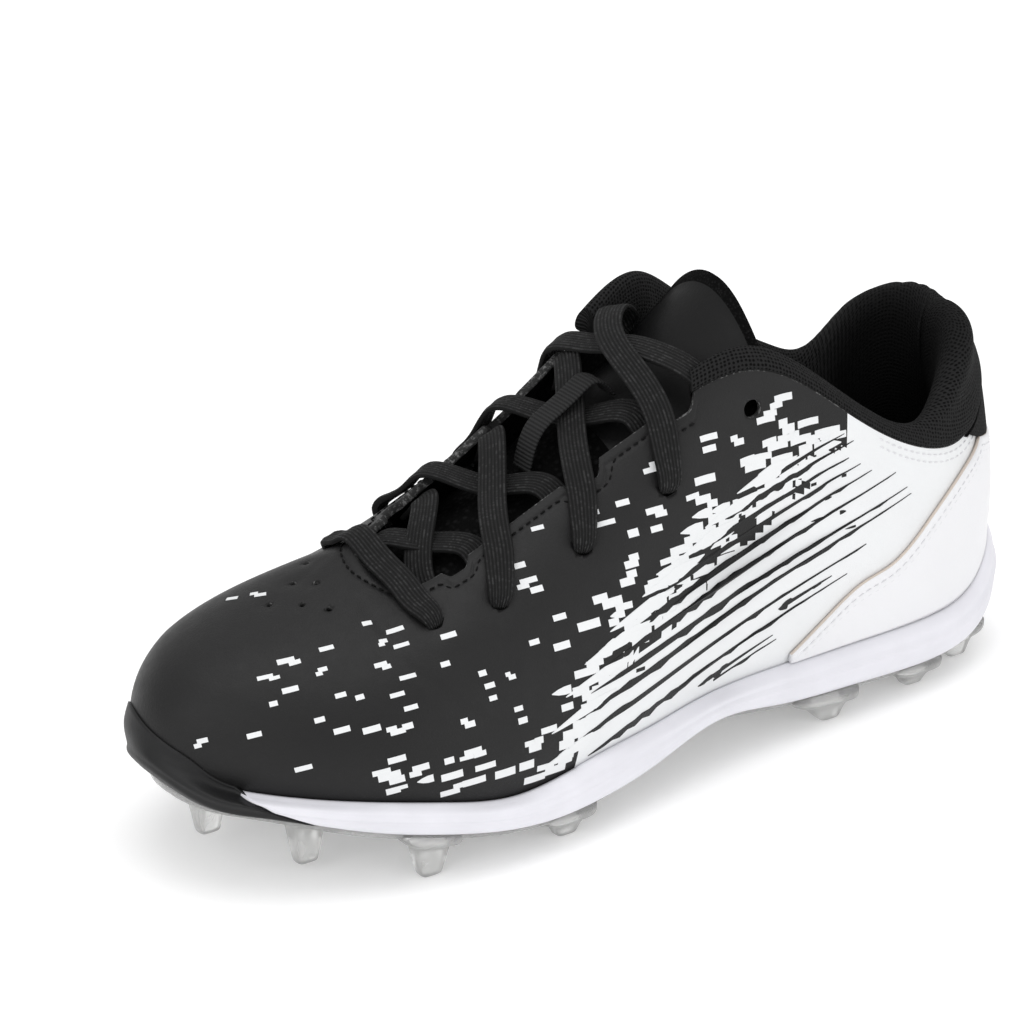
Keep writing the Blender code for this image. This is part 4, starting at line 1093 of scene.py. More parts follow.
def upper():
    """Upper with creases, cut edge, eyelets and vent holes. Faces: skin, edge, lining, print."""
    s = upper_stations()
    length = rib_length(s)
    end = edge_share(s)
    near = 1.0 - np.array(EDGE_ROWS)[None, :] / length[:, None] / end[:, None]
    far = np.linspace(0.0, 1.0, 46)[None, :-1] * near[:, :1]
    v_out = end[:, None] * np.concatenate([far, near], axis=1)
    rows = v_out.shape[1]
    seam = edge_groove(s)[:, None]
    away = (end[:, None] - v_out) * length[:, None]
    groove = 0.00022 * np.exp(-((away - 0.0029) / 0.0006) ** 2) * seam
    out = upper_face(s[:, None], v_out, -groove)
    inward, rise = np.array(RIM_ROWS).T
    v_rim = end[:, None] + rise[None, :] / length[:, None]
    rim = skin(s[:, None], v_rim, -inward[None, :])
    v_in = end[:, None] * np.linspace(1.0, 0.0, 14)[None, :]
    inn = skin(s[:, None], v_in, -WALL)
    grid = np.concatenate([out, rim, inn], axis=1)
    nu, nv = grid.shape[:2]
    slots = np.full((nu, nv), 2)
    middle = (out + np.roll(out, -1, axis=0)) * 0.5
    middle = (middle[:, 1:] + middle[:, :-1]) * 0.5
    slots[:, :rows - 1] = np.where(white_ground(middle), 3, 0)
    slots[:, rows - 1:rows + len(RIM_ROWS)] = 1
    obj = body("upper_skin", grid.reshape(-1, 3), sheet_faces(nu, nv, True, True),
               [SKIN, EDGE, LINING, PRINT], slots.ravel(), node="upper", slot="black_synthetic")
    spots = [(c, n, EYELET_RADIUS, PIN_REACH) for c, n, _, _ in EYES]
    for s0, v0 in TOE_HOLES + SIDE_HOLES:
        c, n = surface_spot(s0, v0, 0.0)
        spots.append((c, n, VENT_RADIUS, PIN_REACH))
    verts, faces = cutter_pins(spots)
    cutter = body("hole_cutter", verts, faces, [EDGE])
    finished.pop()
    mod = obj.modifiers.new("holes", "BOOLEAN")
    mod.operation = "DIFFERENCE"
    mod.solver = "EXACT"
    mod.object = cutter
    mod.material_mode = "TRANSFER"
    graph = bpy.context.evaluated_depsgraph_get()
    cut = bpy.data.meshes.new_from_object(obj.evaluated_get(graph))
    obj.modifiers.clear()
    obj.data = cut
    bpy.data.objects.remove(cutter)


# The print.
def slant_share(s, w):
    """Height share at slant height w, for flat arrays."""
    v = np.linspace(0.0, 1.0, 61)
    rise = np.maximum.accumulate(skin(s[:, None], v[None, :]) @ PRINT_SLANT, axis=1)
    return np.array([np.interp(w[i], rise[i], v) for i in range(len(s))])


def side_place(x, w):
    """Station and height share on the outer side at x and slant height w, all in metres."""
    s = outer_station(x)
    for _ in range(5):
        v = slant_share(s, w)
        here = skin(s, v)[:, 0]
        slope = (skin(s + 1e-3, v)[:, 0] - here) / 1e-3
        s = s + np.clip((x - here) / np.maximum(slope, 0.05), -0.03, 0.03)
    return s, slant_share(s, w)


def tangent_steps(s, v, du, dw):
    """Change of s and v for steps du toward the toe at one slant height and dw across them."""
    c = skin(s, v)
    ps = (skin(s + 5e-4, v) - c) / 5e-4
    pv = (skin(s, v + 2e-3) - c) / 2e-3
    n = unit(np.cross(ps, pv))
    e = unit(np.cross(n, PRINT_SLANT))
    e = e * np.where(e[:, :1] > 0.0, 1.0, -1.0)
    f = unit(np.cross(n, e))
    f = f * np.where(np.sum(f * pv, axis=1) > 0.0, 1.0, -1.0)[:, None]
    step = e[:, None] * du[..., None] + f[:, None] * dw[..., None]
    aa = np.sum(ps * ps, axis=1)[:, None]
    ab = np.sum(ps * pv, axis=1)[:, None]
    bb = np.sum(pv * pv, axis=1)[:, None]
    ka = np.sum(step * ps[:, None], axis=2)
    kb = np.sum(step * pv[:, None], axis=2)
    det = aa * bb - ab * ab
    return (ka * bb - kb * ab) / det, (kb * aa - ka * ab) / det


def patches(name, s, v, shape, mat, lift):
    """Thin printed shapes. s and v hold one grid of points each, over the upper's face."""
    count = len(s)
    nu, nw = shape
    top = upper_face(s, v, lift).reshape(count, nu, nw, 3)
    low = upper_face(s, v, -0.00003).reshape(count, nu, nw, 3)
    verts = []
    faces = []
    ring = [(i, 0) for i in range(nu - 1)] + [(nu - 1, k) for k in range(nw - 1)]
    ring += [(i, nw - 1) for i in range(nu - 1, 0, -1)] + [(0, k) for k in range(nw - 1, 0, -1)]
    for q in range(count):
        first = len(verts)
        verts.extend(top[q].reshape(-1, 3))
        for i in range(nu - 1):
            for k in range(nw - 1):
                a = first + i * nw + k
                faces.append((a, a + nw, a + nw + 1, a + 1))
        skirt = len(verts)
        verts.extend(low[q][i, k] for i, k in ring)
        for j in range(len(ring)):
            m = (j + 1) % len(ring)
            a = first + ring[j][0] * nw + ring[j][1]
            b = first + ring[m][0] * nw + ring[m][1]
            faces.append((a, b, skirt + m, skirt + j))
        faces.append(tuple(skirt + j for j in reversed(range(len(ring)))))
    body(name, np.array(verts), faces, [mat], slot="black_synthetic", smooth=False)


def on_panel(s, v, margin):
    """True where a print still lies on the open face: off the edge, the eyelets and the counter."""
    p = skin(s, v)
    edge = (1.0 - v) * rib_length(s) > notch_depth(s, 0.002) + margin
    clear = np.ones(len(s), dtype=bool)
    for c, _, _, _ in EYES:
        clear &= np.linalg.norm(p - c, axis=1) > EYELET_CLEAR
    rows = np.array(COUNTER)
    top = np.interp(p[:, 0] / LENGTH, rows[:, 0], rows[:, 1]) * INSTEP_HEIGHT
    free = (p[:, 2] > top + 0.002) | (p[:, 0] > rows[-1, 0] * LENGTH)
    low = v * rib_length(s) > 0.0075
    return edge & clear & free & low


def rectangles(s, v, half_u, half_w, move_u, move_w, tip):
    """Corner grids of small rectangles lying along the shoe, narrowed at one end by tip."""
    gu, gw = np.meshgrid(np.linspace(-1.0, 1.0, 4), np.array([-1.0, 1.0]), indexing="ij")
    gu, gw = gu.ravel()[None], gw.ravel()[None]
    du = gu * half_u[:, None] + move_u[:, None]
    narrow = 1.0 - np.abs(tip)[:, None] * np.clip(gu * np.sign(tip)[:, None], 0.0, 1.0)
    dw = gw * half_w[:, None] * narrow + move_w[:, None]
    ds, dv = tangent_steps(s, v, du, dw)
    return s[:, None] + ds, v[:, None] + dv


def dashes():
    """White dashes of the outer side, dense toward the white ground, sparse on the toe."""
    rng = np.random.default_rng(11)
    spots = []
    for w in np.arange(0.0020, 0.070, 0.0034):
        x = 0.040 + rng.random() * 0.005
        while x < 0.194:
            x += rng.uniform(0.0050, 0.0080)
            line = print_line(x * 1000.0, w * 1000.0)
            near = np.clip(1.0 - line / 34.0, 0.0, 1.0)
            if line > -3.0 and rng.random() < 0.20 + 0.72 * near:
                spots.append((x, w + rng.uniform(-0.0006, 0.0006), near))
    x, w, near = np.array(spots).T
    s, v = side_place(x, w)
    toe = []
    for a in np.arange(0.392, 0.486, 0.0135):
        for b in np.arange(0.17, 0.74, 0.105):
            if rng.random() < 0.44 and b < 0.74 - (a - 0.392) * 1.6:
                toe.append((a + rng.uniform(-0.004, 0.004), b + rng.uniform(-0.03, 0.03)))
    toe = np.array(toe)
    s = np.concatenate([s, toe[:, 0]])
    v = np.concatenate([v, toe[:, 1]])
    near = np.concatenate([near, np.zeros(len(toe))])
    ok = on_panel(s, v, 0.0046)
    s, v, near = s[ok], v[ok], near[ok]
    count = len(s)
    half_u = rng.uniform(0.0009, 0.0021, count) * (1.0 + 0.85 * near)
    half_w = rng.uniform(0.00048, 0.00072, count) * (1.0 + 1.00 * near)
    tip = rng.choice([-0.9, 0.9], count) * (rng.random(count) < 0.30 * near)
    none = np.zeros(count)
    one = rectangles(s, v, half_u, half_w, none, none, tip)
    second = rng.random(count) < 0.20 + 0.55 * near
    move_u = rng.choice([-1.0, 1.0], count) * rng.uniform(0.5, 1.2, count) * half_u
    move_w = rng.choice([-1.0, 1.0], count) * half_w * 1.5
    two = rectangles(s, v, half_u * 0.7, half_w * 0.9, move_u, move_w, none)
    third = second & (rng.random(count) < 0.7 * near)
    turned = move_w * rng.choice([-1.0, 1.0], count)
    more = rectangles(s, v, half_u * 0.8, half_w * 0.7, -move_u * 1.1, turned, none)
    all_s = np.concatenate([one[0], two[0][second], more[0][third]])
    all_v = np.concatenate([one[1], two[1][second], more[1][third]])
    patches("print_dashes", all_s, all_v, (4, 2), PRINT, 0.00007)


# Streaks of the print: where each starts on its way to the heel and how long it runs, millimetres.
BLACK_STREAKS = (
    # x, slant height, run, thickness
    (134.0, 2.2, 50.0, 0.6),
    (147.0, 3.0, 84.0, 0.9),
    (150.0, 7.5, 92.0, 1.1),
    (150.0, 12.0, 106.0, 1.2),
    (146.0, 17.0, 100.0, 1.3),
    (140.0, 22.5, 90.0, 1.3),
    (134.0, 28.0, 76.0, 1.4),
    (124.0, 34.5, 62.0, 1.3),
    (112.0, 41.0, 46.0, 1.3),
    (103.0, 46.5, 38.0, 1.2),
    (92.0, 52.0, 24.0, 1.1),
    (110.0, 9.5, 24.0, 0.8),
    (86.0, 21.5, 16.0, 0.8),
)
WHITE_STREAKS = (
    # x, slant height, run, thickness
    (160.0, 4.0, 18.0, 1.8),
    (158.0, 11.0, 20.0, 2.2),
    (153.0, 18.0, 20.0, 2.4),
    (147.0, 24.0, 20.0, 2.8),
    (139.0, 29.5, 20.0, 2.8),
    (129.0, 35.0, 20.0, 2.8),
    (118.0, 40.5, 20.0, 2.6),
    (109.0, 46.0, 18.0, 2.6),
    (99.0, 51.5, 18.0, 2.4),
)
STREAK_SLOPE = 0.26


def streaks(name, rows, mat, seed, peak, lift):
    """Tapered strips, one side of each in small steps. peak: share of the run where it is thickest."""
    rng = np.random.default_rng(seed)
    count = 34
    t = np.linspace(0.0, 1.0, count)
    turn = math.atan(STREAK_SLOPE)
    taper = np.where(t < peak, t / peak, (1.0 - t) / (1.0 - peak)) ** 0.8
    for_s = []
    for_v = []
    for x0, w0, run, thick in rows:
        steps = rng.random(60)
        jag = steps[(t * run / 2.6).astype(int)]
        low = -(taper * thick * 0.5 + 0.07) - 2.4 * (jag - 0.62).clip(0.0) * taper ** 0.5
        high = taper * thick * 0.5 + 0.07 + 1.2 * (np.roll(jag, 3) - 0.6).clip(0.0) * taper
        angle = turn + rng.uniform(-0.012, 0.012)
        edges = []
        for off in (low, high):
            x = x0 - t * run * math.cos(angle) + off * math.sin(angle)
            w = w0 + t * run * math.sin(angle) + off * math.cos(angle)
            edges.append(side_place(x * 0.001, np.maximum(w, 1.0) * 0.001))
        s = np.column_stack([edges[0][0], edges[1][0]])
        v = np.column_stack([edges[0][1], edges[1][1]])
        ok = np.flatnonzero(on_panel(s.mean(axis=1), v.mean(axis=1), 0.0045))
        if len(ok) < 6:
            continue
        at = np.linspace(ok[0], ok[-1], count)
        for_s.append(np.column_stack([np.interp(at, range(count), s[:, k]) for k in (0, 1)]).ravel())
        for_v.append(np.column_stack([np.interp(at, range(count), v[:, k]) for k in (0, 1)]).ravel())
    patches(name, np.array(for_s), np.array(for_v), (count, 2), mat, lift)


def chips():
    """Small black marks scattered on the white ground."""
    rng = np.random.default_rng(4)
    spots = []
    for w in np.arange(0.0020, 0.056, 0.0042):
        x = 0.056 + rng.random() * 0.005
        while x < 0.146:
            x += rng.uniform(0.005, 0.009)
            line = print_line(x * 1000.0, w * 1000.0)
            if -26.0 < line < -4.0 and rng.random() < 0.40 * (1.0 + line / 30.0):
                spots.append((x, w))
    x, w = np.array(spots).T
    s, v = side_place(x, w)
    ok = on_panel(s, v, 0.0046)
    s, v = s[ok], v[ok]
    count = len(s)
    half_u = rng.uniform(0.0006, 0.0017, count)
    half_w = rng.uniform(0.00025, 0.00050, count)
    none = np.zeros(count)
    tip = rng.choice([-0.8, 0.8], count) * (rng.random(count) < 0.5)
    corners = rectangles(s, v, half_u, half_w, none, none, tip)
    patches("print_chips", corners[0], corners[1], (4, 2), SKIN, 0.00006)


def upper_stitches():
    """Rows of stitches along the eyestay and under the collar."""
    first = float(np.interp(4.74, np.arange(len(RIB_KNOTS)), RIB_KNOTS))
    last = float(np.interp(len(RIBS) - 4.86, np.arange(len(RIB_KNOTS)), RIB_KNOTS))
    s = np.linspace(first, last, 900)
    grown = notch_depth(s, 0.0017)
    kernel = np.hanning(15)
    grown = np.convolve(np.pad(grown, 7, mode="edge"), kernel / kernel.sum(), mode="valid")
    v = 1.0 - (grown * 0.9 + 0.0029) / rib_length(s)
    stitch_row("eyestay_stitches", s, v, 0.00008, (0.0021, 0.00068, 0.00022), THREAD, "black_synthetic")
    for name, s, mat in (("outer", np.linspace(0.010, 0.130, 200), WHITE_THREAD),
                         ("inner", np.linspace(-0.135, -0.010, 200), THREAD)):
        for index, down in enumerate((0.0016, 0.0036)):
            v = 1.0 - down / rib_length(s)
            stitch_row("collar_stitches_%s_%d" % (name, index), s, v, 0.00006,
                       (0.0024, 0.0008, 0.00020), mat, "black_synthetic")


def counter():
    """Overlay round the heel with its cut edge and stitches."""
    rows = np.array(COUNTER) * np.array([LENGTH, INSTEP_HEIGHT])
    reach = rows[-1, 0]
    s = np.linspace(inner_station(reach) - 1.0, outer_station(reach), 300)
    base = outline(s, FEATHER_INSET * 0.4)[0]
    low = side(base[:, 0])[:, 1] + GAP * 1.7
    table = Track(rows[:, 1:], rows[:, 0])
    high = table(base[:, 0])[:, 0]
    top = skin(s, np.ones(len(s)))[:, 2] - 0.0012
    band = np.array(HEEL_BAND)
    away = np.abs(np.mod(s + 0.5, 1.0) - 0.5)
    top = np.minimum(top, np.interp(away, band[:, 0], band[:, 1]) - 0.0002)
    high = np.maximum(np.minimum(high, top), low + 0.0012)
    v0 = height_share(s, low)
    v1 = height_share(s, high)
    share = np.linspace(0.0, 1.0, 34)
    v = v0[:, None] + (v1 - v0)[:, None] * share[None, :]
    away = (v1 - v0)[:, None] * rib_length(s)[:, None] * (1.0 - share)[None, :]
    puff = np.clip(away / 0.0009, 0.0, 1.0) ** 0.5
    groove = 0.00022 * np.exp(-((away - 0.0024) / 0.0007) ** 2)
    rise = GAP + 0.0002 + (COUNTER_THICKNESS - 0.0002) * (0.55 + 0.45 * puff) - groove
    out = skin(s[:, None], v, rise)
    lip = skin(s[:, None], v[:, -1:] + 0.0002, np.array([[GAP + COUNTER_THICKNESS * 0.3]]))
    inn = skin(s[:, None], v[:, ::-6], GAP)
    grid = np.concatenate([out, lip, inn], axis=1)
    nu, nv = grid.shape[:2]
    kind = np.zeros(nv, dtype=int)
    kind[len(share) - 1:len(share) + 2] = 1
    slots = np.broadcast_to(kind[None, :], (nu - 1, nv)).ravel()
    tube("counter_panel", grid, [WHITE, BEIGE], slots, node="heel_counter", slot="white_synthetic")
    wide = (v1 - v0) * rib_length(s) > 0.004
    for index, down in enumerate((0.0024, 0.0040)):
        v = v1 - down / rib_length(s)
        stitch_row("counter_stitches_%d" % index, s[wide], v[wide], GAP + COUNTER_THICKNESS - 0.0001,
                   (0.0023, 0.00075, 0.00018), WHITE_THREAD, "white_synthetic")


def cloth_chart(grid):
    """Metres along and around a swept piece, for its knit."""
    along = np.cumsum(np.r_[0.0, np.linalg.norm(np.diff(grid.mean(axis=1), axis=0), axis=1)])
    closed = np.concatenate([grid, grid[:, :1]], axis=1)
    around = np.cumsum(np.linalg.norm(np.diff(closed, axis=1), axis=2), axis=1)
    return np.stack([np.broadcast_to(along[:, None], around.shape), around], axis=2)


def collar():
    """Padded knit collar with a seam along the crest at the heel."""
    rows = np.array(COLLAR)
    knots = np.concatenate([RIB_KNOTS[:-1] - 1.0, RIB_KNOTS])
    index = np.concatenate([np.arange(len(RIBS)) - len(RIBS), np.arange(len(RIBS) + 1)])
    s_rows = np.interp(rows[:, 0], index, knots)
    order = np.argsort(s_rows)
    track = Track(rows[order, 1:], s_rows[order])
    s = np.linspace(s_rows.min(), s_rows.max(), 420)
    value = track(s)
    rise = value[:, 0] * INSTEP_HEIGHT
    lean = value[:, 1] * BALL_WIDTH - 1.2 * HEEL_TUCK * heel_share(s)
    pad = value[:, 2] * BALL_WIDTH
    depth = value[:, 3] * BALL_WIDTH
    length = rib_length(s)
    edge = skin(s, np.ones(len(s)))
    inner = skin(s, np.ones(len(s)), -(WALL + LINING_GAP))
    inward = inner - edge
    inward[:, 2] = 0.0
    inward = unit(inward)
    up = np.array([0.0, 0.0, 1.0])

    def put(base, a, b):
        """Point of base moved inward by a and up by b."""
        return base + inward * np.reshape(a, (-1, 1)) + up * np.reshape(b, (-1, 1))

    crest = put(edge, lean, rise)
    deep = skin(s, 1.0 - depth / length, -(WALL + LINING_GAP))
    half = skin(s, 1.0 - 0.5 * depth / length, -(WALL + LINING_GAP))
    sections = [
        put(edge, 0.0, GAP * 1.4),
        put(edge, lean * 0.30 - 0.0008, rise * 0.50),
        put(crest, -pad * 0.25, -pad * 0.14),
        put(crest, 0.0, 0.0),
        put(crest, pad * 0.30, -pad * 0.10),
        put(crest, pad * 0.55, -pad * 0.45 - rise * 0.15),
        put(half, pad * 0.85, 0.0),
        put(deep, pad * 0.30, 0.0),
        put(deep, 0.0, 0.0),
        put(half, 0.0, 0.0),
        put(inner, 0.0, GAP * 1.4),
    ]
    stack = np.stack(sections, axis=1)
    count = 56
    grid = np.empty((len(s), count, 3))
    for i in range(len(s)):
        grid[i] = Track(stack[i], None, True)(np.linspace(0.0, 1.0, count, endpoint=False))
    heel = np.clip(1.6 - np.abs(s) / 0.055, 0.0, 1.0)
    far = np.linalg.norm(grid - crest[:, None, :], axis=2)
    centre = grid.mean(axis=1, keepdims=True)
    dent = 0.0010 * heel[:, None] * np.exp(-(far / 0.0011) ** 2)
    grid = grid + unit(centre - grid) * dent[:, :, None]
    tube("collar_pad", grid, [COLLAR_KNIT], None, cloth_chart(grid), node="collar", slot="black_textile")


def heel_band():
    """Textile band from under the collar down over the counter's top at the heel."""
    rows = np.array(HEEL_BAND)
    s = np.linspace(-rows[-1, 0], rows[-1, 0], 140)
    low = height_share(s, np.interp(np.abs(s), rows[:, 0], rows[:, 1]))
    share = np.linspace(0.0, 1.0, 12)
    v = 1.0 + (low[:, None] - 1.0) * share[None, :]
    rise = GAP + 0.0008
    out = skin(s[:, None], v, rise)
    lip = skin(s[:, None], low[:, None] - 0.004, rise * 0.6)
    back = skin(s[:, None], v[:, ::-3], GAP * 0.3)
    grid = np.concatenate([out, lip, back], axis=1)
    tube("heel_band", grid, [COLLAR_KNIT], None, cloth_chart(grid), slot="black_textile")


def tongue_point(t, w):
    """Top face of the tongue: t along the table, w from -1 on the inner side to 1."""
    scale = np.array([LENGTH, BALL_WIDTH, INSTEP_HEIGHT, BALL_WIDTH, INSTEP_HEIGHT, INSTEP_HEIGHT])
    c = Track(np.array(TONGUE) * scale)(t)
    y = c[:, 1] + c[:, 3] * w
    z = c[:, 2] - c[:, 4] * w * w + c[:, 5] * w
    return np.column_stack([c[:, 0], y, z])


def tongue():
    """Padded tongue: mesh at the throat, smooth face above, textile tape round the free edge."""
    nt = 150
    nw = 61
    t = np.linspace(0.0, 1.0, nt)
    w = np.sin(np.linspace(-math.pi / 2.0, math.pi / 2.0, nw))
    tt, ww = np.meshgrid(t, w, indexing="ij")
    top = tongue_point(tt.ravel(), ww.ravel()).reshape(nt, nw, 3)
    n = unit(np.cross(np.gradient(top, axis=0), np.gradient(top, axis=1)))
    n = n * np.where(n[:, :, 2:] > 0.0, 1.0, -1.0)
    near_side = 1.0 - np.abs(ww)
    near_end = 1.0 - tt
    tape = np.maximum(np.exp(-(near_side / 0.13) ** 4) * np.clip((tt - 0.55) / 0.1, 0.0, 1.0),
                      np.exp(-(near_end / 0.030) ** 4))
    thick = TONGUE_THICKNESS * (0.35 + 0.65 * np.clip(near_side * 4.0, 0.0, 1.0))
    thick = thick * np.clip(near_end / 0.02, 0.0, 1.0) ** 0.5 + 0.0003
    step = 0.0005 * np.clip((0.60 - tt) / 0.012, 0.0, 1.0)
    face = top + n * (0.0006 * tape - step)[:, :, None]
    low = (top - n * thick[:, :, None])[:, ::-1]
    grid = np.concatenate([face, low], axis=1)
    kind = np.zeros((nt - 1, nw * 2), dtype=int)
    kind[:, :nw] = np.where(tape[:-1] > 0.5, 1, np.where(tt[:-1] < 0.60, 2, 0))
    kind[:, nw - 1:] = 3
    mats = [TONGUE_FACE, KNIT, MESH, LINING]
    tube("tongue_pad", grid, mats, kind.ravel(), node="tongue", slot="black_tongue")


# Lower part of the midsole's side: lean at the guard, inset, and rise as a share of its height.
FOAM_ROWS = (
    # lean, inset, rise
    (0.00, 0.0030, 0.00),
    (0.18, 0.0006, 0.18),
    (0.50, 0.0000, 0.45),
)


def sheared_station(x, level, outer):
    """Station near x, leaning with the end of the toe guard as level goes from 0 to 1."""
    back = (x / LENGTH - (GUARD_START - 0.12)) / 0.12
    front = (FINE_X[TOE_INDEX] - x) / (FINE_X[TOE_INDEX] - GUARD_START * LENGTH)
    weight = np.clip(np.minimum(back, front), 0.0, 1.0)
    moved = x + weight * GUARD_SLANT * LENGTH * (level - 0.5)
    return outer_station(moved) if outer else inner_station(moved)


def sheared_ring(x, level):
    """Sheared stations all round the shoe, heel first."""
    outer = sheared_station(x[1:-1], level, True)
    inner = sheared_station(x[1:-1], level, False)[::-1]
    return np.concatenate([[0.0], outer, [S_TOE], inner])


def midsole():
    """Foam cup with a soft bevel along its side."""
    pair = [GUARD_START * LENGTH, GUARD_START * LENGTH + 0.0004]
    x = [v for v in even_stations(0.0011) if abs(v - pair[0]) > 0.0008]
    x = np.array(sorted(x + pair))
    front = np.concatenate([x, x[1:-1][::-1]])
    guarded = np.where(front > GUARD_START * LENGTH + 0.0002, 1.0, 0.0)
    step = guarded * (GUARD_THICKNESS + GAP)
    rows = []
    for level, inset, rise in FOAM_ROWS:
        s = sheared_ring(x, level)
        p, out = outline(s, inset + step)
        h = side(p[:, 0])
        low = h[:, 0] + (h[:, 1] - h[:, 0]) * (rise - guarded * rise * 0.2)
        rows.append(np.column_stack([p, low]))
    s = sheared_ring(x, 1.0)
    base = outline(s, FEATHER_INSET * 0.4)[0]
    h = side(base[:, 0])
    tall = h[:, 0] + (h[:, 1] - h[:, 0]) * (1.0 - 0.38 * guarded)
    rim = height_share(s, tall)
    top = skin(s, rim, GAP + RIM_WIDTH - guarded * 0.001)
    waist = outline(sheared_ring(x, 0.8), step)[0]
    shoulder = top * 0.35 + np.column_stack([waist, top[:, 2]]) * 0.65
    shoulder[:, 2] = h[:, 0] + (tall - h[:, 0]) * 0.82
    rows += [shoulder, top]
    wall = smooth_rows(rows, 26)
    share = np.linspace(0.0, 1.0, 26)
    out = np.column_stack([outline(s)[1], np.zeros(len(s))])
    bead = 0.00035 * np.exp(-((share - 0.60) / 0.05) ** 2) - 0.00030 * np.exp(-((share - 0.70) / 0.06) ** 2)
    keep = (1.0 - guarded)[None, :, None]
    wall = wall + out[None] * bead[:, None, None] * keep
    lip = [skin(s, rim, GAP + (RIM_WIDTH - guarded * 0.001) * 0.5) + np.array([0.0, 0.0, 0.0002]),
           skin(s, rim, GAP), skin(s, rim * 0.5, GAP), skin(s, rim * 0.0, GAP)]
    floor = lip[-1].copy()
    floor[:, 2] = side(floor[:, 0])[:, 2] - GAP
    grid = np.stack(list(wall) + lip + [floor], axis=1)
    slab("midsole_foam", grid, [FOAM], "midsole", "white_foam")


def seam_height(s):
    """Height of the toe guard's seam at s."""
    arc = (np.asarray(s) - S_TOE) * PERIMETER / BALL_WIDTH
    rows = np.array(GUARD_SEAM)
    return Track(rows[:, 1:], rows[:, 0])(arc)[:, 0] * SOLE_STACK


def guard():
    """Rubber wrap round the toe."""
    start = GUARD_START * LENGTH + 0.0007 + GAP + 0.0012
    turn = np.linspace(0.0, 0.5 * math.pi, 70)
    x = start + (FINE_X[TOE_INDEX] - start) * np.sin(turn)

    def ring(level):
        """Stations round the toe, sheared like the seam at level 1."""
        outer = sheared_station(x[:-1], level, True)
        inner = sheared_station(x[:-1], level, False)[::-1]
        return np.concatenate([outer, [S_TOE], inner])

    def at(level, inset, share):
        """Line round the toe, inset from the sole's widest line, at a share of the midsole's height."""
        p = outline(ring(level), inset)[0]
        h = side(p[:, 0])
        return np.column_stack([p, h[:, 0] + share * (h[:, 1] - h[:, 0])])

    s1 = ring(1.0)
    h = side(outline(s1, FEATHER_INSET * 0.4)[0][:, 0])
    ledge = h[:, 0] + (h[:, 1] - h[:, 0]) * 0.62 + GAP * 1.6
    seam = np.maximum(seam_height(s1), ledge + 0.0012)
    v_seam = height_share(s1, seam)
    v_ledge = height_share(s1, ledge)
    v_mid = v_ledge + (v_seam - v_ledge) * 0.6
    face = smooth_rows([
        at(0.00, 0.0022, 0.00),
        at(0.18, 0.0003, 0.18),
        at(0.50, 0.0000, 0.45),
        at(0.87, 0.0000, 0.78),
        skin(s1, v_mid, GAP + GUARD_THICKNESS * 0.45 + toe_bulge(s1, v_mid)),
        skin(s1, v_seam, GAP + 0.0002 + toe_bulge(s1, v_seam)),
    ], 30)
    back = [
        skin(s1, v_seam, toe_bulge(s1, v_seam) - GAP),
        skin(s1, v_mid, toe_bulge(s1, v_mid) - GAP),
        skin(s1, v_ledge, GAP * 1.3),
        at(0.97, GUARD_THICKNESS, 0.55),
        at(0.75, GUARD_THICKNESS, 0.48),
        at(0.50, GUARD_THICKNESS, 0.33),
        at(0.22, GUARD_THICKNESS, 0.15),
        at(0.00, GUARD_THICKNESS, 0.00),
    ]
    back[3][:, 2] = ledge - GAP * 0.3
    grid = np.stack(list(face) + back, axis=1)
    tube("guard_rubber", grid, [RUBBER], node="toe_guard", slot="black_rubber")


def sole_plate():
    """Clear plate with raised ribs, and the studs on their pads."""
    x = even_stations(0.0016)
    s = slab_stations(x)
    rows = []
    for inset, drop in ((0.0010, 1.0), (0.0003, 0.96), (0.0, 0.75), (0.0, 0.35), (0.0002, 0.0)):
        p = outline(s, PLATE_INSET + inset)[0]
        rows.append(np.column_stack([p, side(p[:, 0])[:, 0] - GAP - PLATE_THICKNESS * drop]))
    slab("sole_plate", np.stack(rows, axis=1), [CLEAR], "outsole", "clear_stud")
    for index, row in enumerate(STUDS):
        stud(index, row)
    for index, y in enumerate((-0.16, -0.05, 0.06, 0.17)):
        xs = np.linspace(0.34, 0.60, 40) * LENGTH
        ys = y * BALL_WIDTH * (0.8 + 0.5 * np.linspace(0.0, 1.0, 40))
        base = side(xs)[:, 0] - GAP - PLATE_THICKNESS
        line = np.column_stack([xs, ys, base])
        turn = np.linspace(0.0, 2.0 * math.pi, 12, endpoint=False)
        size = 0.0011 * np.sin(np.linspace(0.06, math.pi - 0.06, 40)) ** 0.5
        grid = line[:, None, :] + np.stack([np.zeros((40, 12)), size[:, None] * np.cos(turn) * 1.3,
                                            size[:, None] * np.sin(turn) * 0.9], axis=2)
        tube("shank_rib_%d" % index, grid, [CLEAR], slot="clear_stud")


